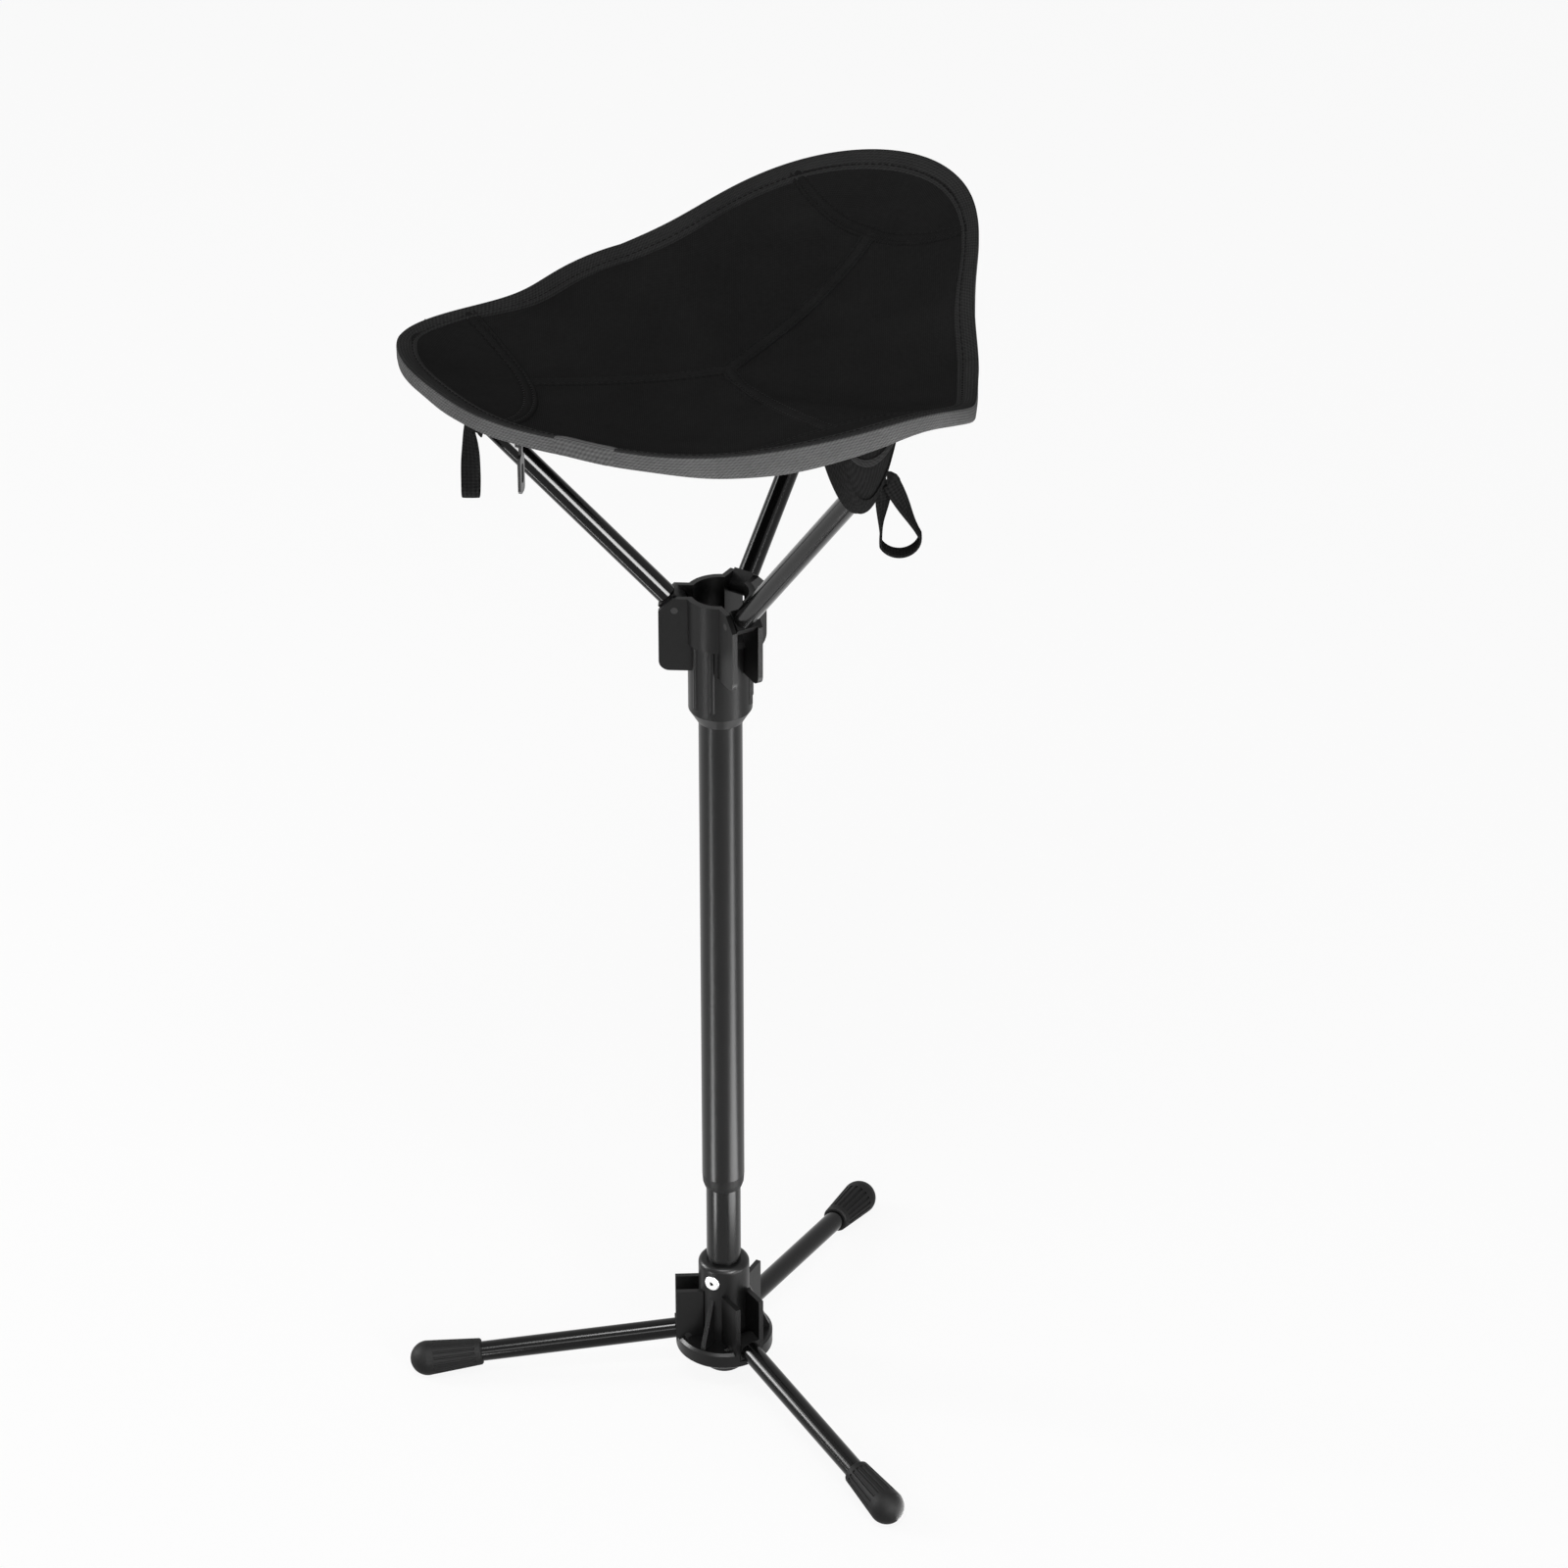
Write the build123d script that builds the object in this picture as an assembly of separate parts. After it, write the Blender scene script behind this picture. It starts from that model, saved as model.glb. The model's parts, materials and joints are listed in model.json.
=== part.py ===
from build123d import *

import os
from math import asin, atan, atan2, cos, degrees, hypot, pi, radians, sin

# Tripod stool: folding base, plug-in pole, three seat rods and a three-cornered cloth seat.
# Millimetres and degrees. +Z is up, and the origin is on the floor under the pole.

# Plan directions of the three arms, counted from +X
arm_angle = {"left": 180.0, "front": 300.0, "back": 60.0}
base_turn = 2.4
seat_turn = -2.3

# Fits and gaps
running_clearance = 0.05
press_clearance = 0.02
part_gap = 0.3
swing_room = 0.65
side_room = 0.5

# Pole
inner_tube_diameter = 20.4
inner_tube_wall = 1.2
inner_tube_length = 239.0
bush_wall = 1.0
bush_length = 25.0
ferrule_nose_length = 8.5
ferrule_nose_taper = 1.3
outer_tube_wall = 1.2
outer_tube_bottom = 142.0
outer_tube_length = 366.0
plug_flange = 4.0
plug_depth = 15.0
stop_length = 20.0

# Legs, rods and their knuckles
leg_diameter = 12.0
leg_wall = 1.0
leg_length = 157.6
leg_pivot_height = 29.0
rod_diameter = 12.0
rod_wall = 1.0
rod_length = 206.0
rod_rise = 47.7
rod_pivot_lift = 21.5
knuckle_nose_margin = 0.1
knuckle_length = 7.0
knuckle_side_gap = 0.3
spigot_length = 22.0
pin_diameter = 4.0
rod_tip_margin = 0.2
rod_tip_sleeve = 12.0

# Foot caps
foot_radius = 10.5
foot_flat = 0.5
foot_mouth_radius = 8.0
foot_length = 33.0
foot_mouth_chamfer = 0.8
foot_end_wall = 6.0
flute_count = 18
flute_radius = 0.8
flute_margin = 4.0

# Lower hub
collar_wall = 5.0
collar_top = 80.0
collar_round = 3.5
plate_thickness = 3.0
lower_plate_reach = 7.0
lower_plate_top = 61.0
disc_thickness = 11.0
disc_top = 28.0
disc_chamfer = 1.5
slot_floor_gap = 1.3
gusset_thickness = 3.0
gusset_height = 30.0
gusset_inset = 2.0
hub_web = 3.0
foot_recess = 3.0
dome_radius = 17.0
dome_flat_radius = 7.0
dome_spigot_radius = 9.0

# Blind rivet in the collar
rivet_drop = 10.5
rivet_flange_diameter = 9.6
rivet_flange_thickness = 1.3
rivet_shank_diameter = 4.8
rivet_hole_diameter = 2.4
rivet_spot_depth = 0.65
rivet_spot_margin = 0.4
rivet_tail = 2.0

# Upper hub
sleeve_wall = 5.7
sleeve_length = 53.0
sleeve_taper_height = 8.0
sleeve_lip = 1.0
crown_web = 3.7
crown_wall = 3.5
crown_height = 25.0
crown_margin = 1.75
upper_plate_reach = 9.0
upper_plate_drop = 17.0
upper_plate_round = 6.0
upper_plate_chamfer = 8.0
rib_radius = 2.2
rib_spread = 17.0
rib_length = 44.0

# Cloth: tips, edges and middle, placed from the rod ends
corner_turn = {"left": 2.8, "front": 4.3, "back": -1.4}
tip_reach = {"left": 10.4, "front": 12.8, "back": 39.3}
tip_lift = {"left": 12.5, "front": 41.5, "back": 41.2}
edge_radius = {"left": 161.4, "front": 141.0, "back": 118.3}
edge_lift = {"left": 27.3, "front": 0.0, "back": 17.4}
middle_lift = -9.8
middle_shift = (5.0, 8.0)
seam_turn = {"left": 16.0, "front": -3.0, "back": -1.0}
corner_sharpness = {"left": 10.5, "front": 2.4, "back": 3.3}
corner_steepness = {"left": 2.0, "front": 1.4, "back": 3.0}
edge_steepness = 2.2
corner_sag = {"left": 1.2, "front": 3.3, "back": 1.2}
cloth_thickness = 1.6
sewn_gap = 0.15
binding_width = 10.0
binding_thickness = 0.9
skirt_drop = 11.0
patch_thickness = 0.8
patch_depth = {"left": 71.0, "front": 39.0, "back": 53.0}
patch_arc_radius = {"left": 130.0, "front": 130.0, "back": 260.0}

# Corner pockets below the cloth
pocket_mouth_back = {"left": 33.0, "front": 1.0, "back": 14.0}
pocket_end_reach = {"left": 8.0, "front": 10.5, "back": 14.0}
pocket_mouth_half_width = {"left": 29.0, "front": 24.0, "back": 29.0}
pocket_end_half_width = 17.0
pocket_thickness = 1.2
pocket_edge_inset = 0.8
pocket_rod_gap = 0.8
pocket_bend = 3.0
pocket_toe_start = 2.0
pocket_toe_round = 0.97

# Webbing loops
loop_length = {"left": 52.0, "front": 46.0, "back": 58.0}
loop_radius = {"left": 10.0, "front": 12.0, "back": 11.0}
loop_side = {"left": 17.5, "front": 13.4, "back": 18.5}
loop_inset = {"left": 5.0, "front": 5.0, "back": 5.0}
loop_turn = {"left": 90.0, "front": 0.0, "back": 0.0}
loop_lean = {"left": 0.0, "front": -12.0, "back": 0.0}
loop_top_radius = 3.0
loop_width = 10.0
webbing_thickness = 1.4

# Under panel and zip
under_radius = 132.0
under_edge = 13.0
under_bulge = 8.0
under_thickness = 1.2
zip_start_radius = 126.0
zip_start_turn = 36.0
zip_heading = 168.0
zip_length = 90.0
zip_width = 20.0
zip_thickness = 1.0
zip_end_margin = 6.0
slider_length = 11.0
slider_width = 8.0
slider_height = 5.0
slider_eye_drop = 3.0
pull_pin_diameter = 2.0
pull_length = 31.0
pull_width = 8.0
pull_thickness = 1.6
pull_eye_length = 12.0
pull_eye_width = 3.6

# Sizes that follow from the ones above
inner_radius = inner_tube_diameter / 2
bush_inner = inner_radius + running_clearance
bush_outer = bush_inner + bush_wall
outer_bore = bush_outer + running_clearance
outer_radius = outer_bore + outer_tube_wall
collar_bore = inner_radius + press_clearance
collar_radius = collar_bore + collar_wall
sleeve_bore = outer_radius + press_clearance
sleeve_radius = sleeve_bore + sleeve_wall
pin_radius = pin_diameter / 2
leg_nose = leg_diameter / 2 + knuckle_nose_margin
rod_nose = rod_diameter / 2 + knuckle_nose_margin
leg_gap = leg_diameter + 2 * side_room
rod_gap = rod_diameter + 2 * side_room
leg_pivot_radius = collar_radius + leg_nose + swing_room
rod_pivot_radius = sleeve_radius + rod_nose + swing_room
disc_radius = leg_pivot_radius + lower_plate_reach
disc_bottom = disc_top - disc_thickness
inner_tube_bottom = disc_bottom + foot_recess + hub_web
inner_tube_top = inner_tube_bottom + inner_tube_length
outer_tube_top = outer_tube_bottom + outer_tube_length
crown_floor = outer_tube_top + part_gap + crown_web
crown_top = crown_floor + crown_height
crown_radius = sleeve_radius + crown_margin
rod_pivot_height = outer_tube_top + rod_pivot_lift
leg_slope = degrees(asin((leg_pivot_height - foot_radius + foot_flat) / leg_length))
rod_end_radius = rod_pivot_radius + rod_length * cos(radians(rod_rise))
rod_end_height = rod_pivot_height + rod_length * sin(radians(rod_rise))
rod_tip_radius = rod_diameter / 2 + rod_tip_margin
leg_angle = {name: angle + base_turn for name, angle in arm_angle.items()}
rod_angle = {name: angle + seat_turn for name, angle in arm_angle.items()}
corner_angle = {name: angle + corner_turn[name] for name, angle in rod_angle.items()}
seam_angle = {name: angle + seam_turn[name] for name, angle in rod_angle.items()}
tip_radius = {name: rod_end_radius + reach for name, reach in tip_reach.items()}
tip_height = {name: rod_end_height + lift for name, lift in tip_lift.items()}
edge_height = {name: rod_end_height + lift for name, lift in edge_lift.items()}
middle_height = rod_end_height + middle_lift

BASE = (Align.CENTER, Align.CENTER, Align.MIN)
ARM_ORDER = ("left", "front", "back")
FAR = 400.0


# Shared shapes

def rod_along_z(radius, bottom, top):
    return Pos(0, 0, bottom) * Cylinder(radius, top - bottom, align=BASE)


def tube_along_z(outer, inner, bottom, top):
    return rod_along_z(outer, bottom, top) - rod_along_z(inner, bottom - 1, top + 1)


def rod_along_x(radius, start, end):
    return Pos(start, 0, 0) * Rot(0, 90, 0) * Cylinder(radius, end - start, align=BASE)


def pin_along_y(radius, length):
    return Rot(90, 0, 0) * Cylinder(radius, length)


def block(start, end, width, bottom, top):
    size = Box(end - start, width, top - bottom, align=(Align.MIN, Align.CENTER, Align.MIN))
    return Pos(start, 0, bottom) * size


def turned(points):
    outline = Polyline(*[(radius, 0, height) for radius, height in points], close=True)
    return revolve(make_face(outline), Axis.Z)


def on_leg(name):
    return Rot(0, 0, leg_angle[name]) * Pos(leg_pivot_radius, 0, leg_pivot_height) * Rot(0, leg_slope, 0)


def on_rod(name):
    return Rot(0, 0, rod_angle[name]) * Pos(rod_pivot_radius, 0, rod_pivot_height) * Rot(0, -rod_rise, 0)


# Base

def clevis(plate, gap):
    offset = (gap + plate_thickness) / 2
    return [Pos(0, offset, 0) * plate, Pos(0, -offset, 0) * plate]


def gusset():
    inner = collar_bore + collar_wall / 2
    outer = disc_radius - gusset_inset
    outline = Polyline((inner, 0, disc_top - 1), (outer, 0, disc_top - 1), (outer, 0, disc_top + 2),
                       (collar_radius, 0, disc_top + gusset_height), (inner, 0, disc_top + gusset_height),
                       close=True)
    return extrude(make_face(outline), amount=gusset_thickness / 2, both=True)


def rivet_frame():
    angle = leg_angle["left"] + 60
    return Rot(0, 0, angle) * Pos(0, 0, collar_top - rivet_drop)


def lower_hub():
    collar = rod_along_z(collar_radius, disc_bottom, collar_top)
    collar = fillet(collar.edges().group_by(Axis.Z)[-1], collar_round)
    disc = rod_along_z(disc_radius, disc_bottom, disc_top)
    disc = chamfer(disc.edges().filter_by(GeomType.CIRCLE), disc_chamfer)
    hub = collar + disc
    plate = block(collar_bore + collar_wall / 2, disc_radius, plate_thickness, disc_top - 1, lower_plate_top)
    for angle in leg_angle.values():
        hub += [Rot(0, 0, angle) * side for side in clevis(plate, leg_gap)]
        hub += Rot(0, 0, angle + 60) * gusset()
    slot_floor = leg_pivot_height - leg_diameter / 2 - slot_floor_gap
    slot = block(collar_radius, FAR, leg_gap, slot_floor, lower_plate_top + 1)
    pin_hole = Pos(leg_pivot_radius, 0, leg_pivot_height) * pin_along_y(
        pin_radius + press_clearance, leg_gap + 4 * plate_thickness)
    for angle in leg_angle.values():
        hub -= Rot(0, 0, angle) * slot
        hub -= Rot(0, 0, angle) * pin_hole
    hub -= rod_along_z(collar_bore, inner_tube_bottom - part_gap, collar_top + 1)
    hub -= rod_along_z(dome_spigot_radius + press_clearance, disc_bottom - 1, disc_bottom + foot_recess)
    spot_face = rod_along_x(rivet_flange_diameter / 2 + rivet_spot_margin, collar_radius - rivet_spot_depth,
                            collar_radius + 2)
    hub -= rivet_frame() * spot_face
    hub -= rivet_frame() * rod_along_x(rivet_shank_diameter / 2 + press_clearance, 0, collar_radius + 1)
    return hub


def pole_foot():
    outline = Polyline((0, 0, 0), (dome_flat_radius, 0, 0))
    side = ThreePointArc((dome_flat_radius, 0, 0),
                         (dome_radius * 0.8, 0, disc_bottom * 0.33),
                         (dome_radius, 0, disc_bottom))
    top = Polyline((dome_radius, 0, disc_bottom), (dome_spigot_radius, 0, disc_bottom),
                   (dome_spigot_radius, 0, disc_bottom + foot_recess - part_gap),
                   (0, 0, disc_bottom + foot_recess - part_gap), (0, 0, 0))
    return revolve(make_face(outline + side + top), Axis.Z)


def inner_tube():
    tube = tube_along_z(inner_radius, inner_radius - inner_tube_wall, inner_tube_bottom, inner_tube_top)
    return tube - rivet_frame() * rod_along_x(rivet_shank_diameter / 2 + press_clearance, 0, inner_radius + 1)


def inner_plug():
    spigot = inner_radius - inner_tube_wall - press_clearance
    flange = rod_along_z(inner_radius, inner_tube_top, inner_tube_top + plug_flange)
    flange = chamfer(flange.edges().group_by(Axis.Z)[-1], plug_flange / 4)
    return flange + rod_along_z(spigot, inner_tube_top - plug_depth, inner_tube_top)


def hub_rivet():
    seat = collar_radius - rivet_spot_depth
    tail = inner_radius - inner_tube_wall - rivet_tail
    flange = rod_along_x(rivet_flange_diameter / 2, seat, seat + rivet_flange_thickness)
    flange = fillet(flange.edges().filter_by(GeomType.CIRCLE).sort_by(Axis.X)[-1], rivet_flange_thickness * 0.7)
    rivet = flange + rod_along_x(rivet_shank_diameter / 2, tail, seat)
    rivet -= rod_along_x(rivet_hole_diameter / 2, tail - 1, seat + rivet_flange_thickness + 1)
    return rivet_frame() * rivet


def leg_pins():
    pin = Pos(leg_pivot_radius, 0, leg_pivot_height) * pin_along_y(pin_radius, leg_gap + 2 * plate_thickness)
    return Compound([Rot(0, 0, angle) * pin for angle in leg_angle.values()])


# Legs and rods

def knuckle(nose, gap, bore):
    width = gap - 2 * knuckle_side_gap
    body = pin_along_y(nose, width) + block(0, knuckle_length, width, -nose, nose)
    body += rod_along_x(bore - press_clearance, knuckle_length, knuckle_length + spigot_length)
    return body - pin_along_y(pin_radius + running_clearance, width + 2)


def round_tube(diameter, wall, end):
    outer = rod_along_x(diameter / 2, knuckle_length, end)
    return outer - rod_along_x(diameter / 2 - wall, knuckle_length - 1, end + 1)


def leg_tube():
    return round_tube(leg_diameter, leg_wall, leg_length - foot_end_wall)


def foot_cap():
    bore = leg_diameter / 2 + press_clearance
    start = leg_length - foot_length
    slope = (foot_radius - foot_mouth_radius) / foot_length
    outline = Polyline((start, 0, bore), (start, 0, foot_mouth_radius - foot_mouth_chamfer),
                       (start + foot_mouth_chamfer, 0, foot_mouth_radius), (leg_length, 0, foot_radius))
    dome = ThreePointArc((leg_length, 0, foot_radius),
                         (leg_length + foot_radius * sin(pi / 4), 0, foot_radius * cos(pi / 4)),
                         (leg_length + foot_radius, 0, 0))
    hollow = Polyline((leg_length + foot_radius, 0, 0), (leg_length - foot_end_wall, 0, 0),
                      (leg_length - foot_end_wall, 0, bore), (start, 0, bore))
    cap = revolve(make_face(outline + dome + hollow), Axis.X)
    flute_length = foot_length - 2 * flute_margin
    middle = leg_length - foot_length / 2
    surface = foot_mouth_radius + slope * foot_length / 2
    flute = Pos(middle, 0, surface) * Rot(0, 90 - degrees(slope), 0) * Cylinder(flute_radius, flute_length)
    cap -= [Rot(360 / flute_count * i, 0, 0) * flute for i in range(flute_count)]
    return cap


def rod_tube():
    return round_tube(rod_diameter, rod_wall, rod_length - rod_tip_sleeve)


def rod_tip():
    start = rod_length - rod_tip_sleeve
    tip = rod_along_x(rod_tip_radius, start, rod_length) + Pos(rod_length, 0, 0) * Sphere(rod_tip_radius)
    spigot = rod_diameter / 2 - rod_wall - press_clearance
    return tip + rod_along_x(spigot, start - spigot_length, start)


# Upper pole

def pole_bush():
    nose_top = outer_tube_bottom - running_clearance
    nose_bottom = nose_top - ferrule_nose_length
    return turned([(bush_inner, nose_bottom), (outer_radius - ferrule_nose_taper, nose_bottom),
                   (outer_radius - ferrule_nose_taper / 3, nose_bottom + ferrule_nose_length / 3),
                   (outer_radius, nose_top), (bush_outer, nose_top),
                   (bush_outer, nose_top + bush_length), (bush_inner, nose_top + bush_length)])


def outer_tube():
    return tube_along_z(outer_radius, outer_bore, outer_tube_bottom, outer_tube_top)


def tube_stop():
    bottom = inner_tube_top + plug_flange + part_gap
    return rod_along_z(outer_bore - press_clearance, bottom, bottom + stop_length)


def upper_hub():
    bottom = outer_tube_top - sleeve_length
    hub = turned([(0, bottom), (sleeve_bore + sleeve_lip, bottom),
                  (sleeve_radius, bottom + sleeve_taper_height), (sleeve_radius, crown_floor), (0, crown_floor)])
    hub += tube_along_z(crown_radius, crown_radius - crown_wall, crown_floor - 1, crown_top)
    hub += rod_along_z(crown_radius, crown_floor - crown_web, crown_floor)
    outer = rod_pivot_radius + upper_plate_reach
    plate = block(sleeve_bore + sleeve_wall / 2, outer, plate_thickness,
                  outer_tube_top - upper_plate_drop, crown_top)
    long_edges = plate.edges().filter_by(Axis.Y).group_by(Axis.X)[-1].sort_by(Axis.Z)
    plate = fillet(long_edges[0], upper_plate_round)
    top_edge = plate.edges().filter_by(Axis.Y).group_by(Axis.Z)[-1].sort_by(Axis.X)[-1]
    plate = chamfer(top_edge, upper_plate_chamfer)
    rib = Pos(sleeve_radius - rib_radius / 2, 0, 0) * rod_along_z(rib_radius, crown_floor - rib_length, crown_floor)
    for angle in rod_angle.values():
        hub += [Rot(0, 0, angle) * side for side in clevis(plate, rod_gap)]
        hub += [Rot(0, 0, angle + 60 + side * rib_spread) * rib for side in (-1, 1)]
    slot = block(sleeve_radius, FAR, rod_gap, bottom, crown_top + 1)
    notch = block(0, FAR, rod_gap, crown_floor, crown_top + 1)
    pin_hole = Pos(rod_pivot_radius, 0, rod_pivot_height) * pin_along_y(
        pin_radius + press_clearance, rod_gap + 4 * plate_thickness)
    for angle in rod_angle.values():
        hub -= Rot(0, 0, angle) * slot
        hub -= Rot(0, 0, angle) * notch
        hub -= Rot(0, 0, angle) * pin_hole
    return hub - rod_along_z(sleeve_bore, bottom - 1, outer_tube_top + part_gap)


def rod_pins():
    pin = Pos(rod_pivot_radius, 0, rod_pivot_height) * pin_along_y(pin_radius, rod_gap + 2 * plate_thickness)
    return Compound([Rot(0, 0, angle) * pin for angle in rod_angle.values()])


# Cloth

def edge_place(angle):
    """Returns how near a plan angle is to a corner, and the edge and corner that it lies by."""
    turn = (angle - corner_angle["left"]) % 360
    starts = [(corner_angle[name] - corner_angle["left"]) % 360 for name in ARM_ORDER] + [360]
    sector = sum(turn >= start for start in starts[1:3])
    share = (turn - starts[sector]) / (starts[sector + 1] - starts[sector])
    corner = ARM_ORDER[sector] if share < 0.5 else ARM_ORDER[(sector + 1) % 3]
    return abs(cos(pi * share)), ARM_ORDER[sector], corner


def edge_at(angle):
    """Returns the cloth's radius and height on its edge, and its steepness there."""
    nearness, edge, corner = edge_place(angle)
    radius_share = nearness ** corner_sharpness[corner]
    height_share = nearness ** corner_sag[corner]
    radius = edge_radius[edge] + (tip_radius[corner] - edge_radius[edge]) * radius_share
    height = edge_height[edge] + (tip_height[corner] - edge_height[edge]) * height_share
    steepness = edge_steepness + (corner_steepness[corner] - edge_steepness) * nearness ** 2
    return radius, height, steepness


def cloth_height(x, y):
    """Returns the height of the cloth's top face over a plan point."""
    radius, height, steepness = edge_at(degrees(atan2(y, x)))
    share = min(hypot(x, y) / radius, 1.2)
    return middle_height + (height - middle_height) * share ** steepness


def sheet_loft(top_rows, low_rows):
    """Returns a sheet lofted through rows of points on its two faces, each row in an upright plane."""
    shares = [i / (len(top_rows[0]) - 1) for i in range(len(top_rows[0]))]
    sections = []
    for top_row, low_row in zip(top_rows, low_rows):
        top = Edge.make_spline(top_row, parameters=shares)
        low = Edge.make_spline(low_row, parameters=shares)
        start = Edge.make_line(top @ 0, low @ 0)
        end = Edge.make_line(top @ 1, low @ 1)
        sections.append(make_face([top, end, low, start]))
    return loft(sections)


def height_slab(height, half_size, steps, lift, thickness):
    """Returns a square sheet with the given heights on its top face, lifted."""
    places = [half_size * (2 * i / steps - 1) for i in range(steps + 1)]
    top_rows = [[(x, y, height(x, y) + lift) for x in places] for y in places]
    low_rows = [[(x, y, z - thickness) for x, y, z in row] for row in top_rows]
    return sheet_loft(top_rows, low_rows)


def cloth_slab(lift, thickness):
    half_size = max(tip_radius.values()) + binding_width
    return height_slab(cloth_height, half_size, 28, lift, thickness)


def outline_prism(inset):
    """Returns an upright prism inside the cloth's edge, set in by the given distance."""
    points = []
    for i in range(60):
        angle = 6.0 * i
        radius = edge_at(angle)[0] - inset
        points.append((radius * cos(radians(angle)), radius * sin(radians(angle))))
    outline = make_face(Spline(*points, periodic=True))
    return Pos(0, 0, middle_height - FAR / 2) * extrude(outline, amount=FAR)


def seam_point(name, radius):
    """Returns the plan point at a radius on a corner's seam line."""
    angle = radians(seam_angle[name])
    return radius * cos(angle), radius * sin(angle)


def panel_prism(first, second):
    """Returns an upright wedge between two corners, with its point at the middle of the cloth."""
    start_x, start_y = middle_shift
    arms = [seam_point(name, 2 * FAR) for name in (first, second)]
    far = (arms[0][0] + arms[1][0], arms[0][1] + arms[1][1])
    tips = [seam_point(name, tip_radius[name]) for name in (first, second)]
    ends = [(start_x + 3 * (x - start_x), start_y + 3 * (y - start_y)) for x, y in tips]
    outline = make_face(Polyline((start_x, start_y), ends[0], far, ends[1], close=True))
    return Pos(0, 0, middle_height - FAR / 2) * extrude(outline, amount=FAR)


def seat_binding():
    lift = sewn_gap + binding_thickness
    outside = outline_prism(-lift)
    flange = cloth_slab(lift, binding_thickness) & outside
    flange -= outline_prism(binding_width)
    skirt = cloth_slab(lift, lift + skirt_drop) & outside
    skirt -= outline_prism(-sewn_gap)
    return flange + skirt


def corner_patch(name):
    arc_radius = patch_arc_radius[name]
    x, y = seam_point(name, tip_radius[name] - patch_depth[name] + arc_radius)
    disc = Pos(x, y, middle_height - FAR / 2) * Cylinder(arc_radius, FAR, align=BASE)
    sheet = cloth_slab(sewn_gap + patch_thickness, patch_thickness)
    return sheet & outline_prism(binding_width + sewn_gap) & disc


def pocket_height(name, ahead, aside, half_width, grow):
    """Returns a point of a pocket's inner face, or of one grown outwards: under the rod, up to the cloth."""
    angle = radians(rod_angle[name])
    x = ahead * cos(angle) - aside * sin(angle)
    y = ahead * sin(angle) + aside * cos(angle)
    slope = sin(radians(rod_rise)) / cos(radians(rod_rise))
    past_end = ahead - rod_end_radius
    rod_axis = rod_end_height + (past_end - hypot(past_end, pocket_bend)) / 2 * slope
    rod_below = rod_axis - rod_tip_radius / cos(radians(rod_rise)) - pocket_rod_gap - grow
    sides = cloth_height(x, y) - cloth_thickness - sewn_gap - grow
    toe_start = rod_end_radius + pocket_toe_start
    toe_length = pocket_end_reach[name] - pocket_toe_start + grow
    toe = min(max((ahead - toe_start) / toe_length, 0.0), 1.0) * pocket_toe_round
    low = rod_below + (sides - rod_below) * (1 - (1 - toe ** 2) ** 0.5)
    return x, y, sides + (low - sides) * (1 - (aside / half_width) ** 2)


def pocket_slab(name, lift, grow):
    """Returns a sheet under a rod tip, from a lift above the pocket's inner face to a face grown outwards."""
    start = rod_end_radius - pocket_mouth_back[name]
    end = rod_end_radius + pocket_end_reach[name]
    mouth = pocket_mouth_half_width[name]
    rows = 24
    columns = 16
    top_rows = []
    low_rows = []
    for i in range(rows + 1):
        share = 1 - (1 - i / rows) ** 1.3
        ahead = start + (end - start) * share
        half_width = mouth + (pocket_end_half_width - mouth) * share
        sides = [half_width * (2 * j / columns - 1) for j in range(columns + 1)]
        inner = [pocket_height(name, ahead, aside, half_width, 0) for aside in sides]
        top_rows.append([(x, y, z + lift) for x, y, z in inner])
        low_rows.append([pocket_height(name, ahead, aside, half_width, grow) for aside in sides])
    return sheet_loft(top_rows, low_rows)


def corner_pocket(name):
    return pocket_slab(name, 0, pocket_thickness) & outline_prism(pocket_edge_inset)


def teardrop(name, inset):
    """Returns the outline of a hanging loop, upright in the XZ plane, set in by the given distance."""
    radius = loop_radius[name]
    top = Pos(0, -loop_top_radius) * CenterArc((0, 0), loop_top_radius - inset, 0, 360)
    bottom = Pos(0, radius - loop_length[name]) * CenterArc((0, 0), radius - inset, 0, 360)
    return Plane.XZ * make_hull([top.edge(), bottom.edge()])


def webbing_loop(name):
    ring = extrude(teardrop(name, 0), amount=loop_width / 2, both=True)
    ring -= extrude(teardrop(name, webbing_thickness), amount=loop_width, both=True)
    ahead = rod_end_radius - pocket_mouth_back[name] + loop_inset[name]
    x, y, level = pocket_height(name, ahead, loop_side[name], pocket_mouth_half_width[name], 0)
    hung = Pos(x, y, level) * Rot(0, 0, loop_turn[name]) * Rot(0, loop_lean[name], 0) * ring
    above = loop_length[name] / 2
    hung -= pocket_slab(name, above, pocket_thickness + sewn_gap)
    return hung.solids().sort_by(SortBy.VOLUME)[-1]


# Under panel and zip

def under_height(x, y):
    """Returns the height of the under panel's top face, bulging away from the cloth."""
    bulge = under_bulge * max(0.0, 1 - (hypot(x, y) / under_radius) ** 2)
    return cloth_height(x, y) - cloth_thickness - sewn_gap - bulge


def under_panel():
    slab = height_slab(under_height, under_radius + under_edge, 30, 0, under_thickness)
    disc = Pos(0, 0, middle_height - FAR / 2) * Cylinder(under_radius, FAR, align=BASE)
    return slab & disc & outline_prism(under_edge)


def zip_start():
    """Returns the plan point of the slider's middle when the zip is closed."""
    angle = radians(rod_angle["left"] + zip_start_turn)
    return zip_start_radius * cos(angle), zip_start_radius * sin(angle)


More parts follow.
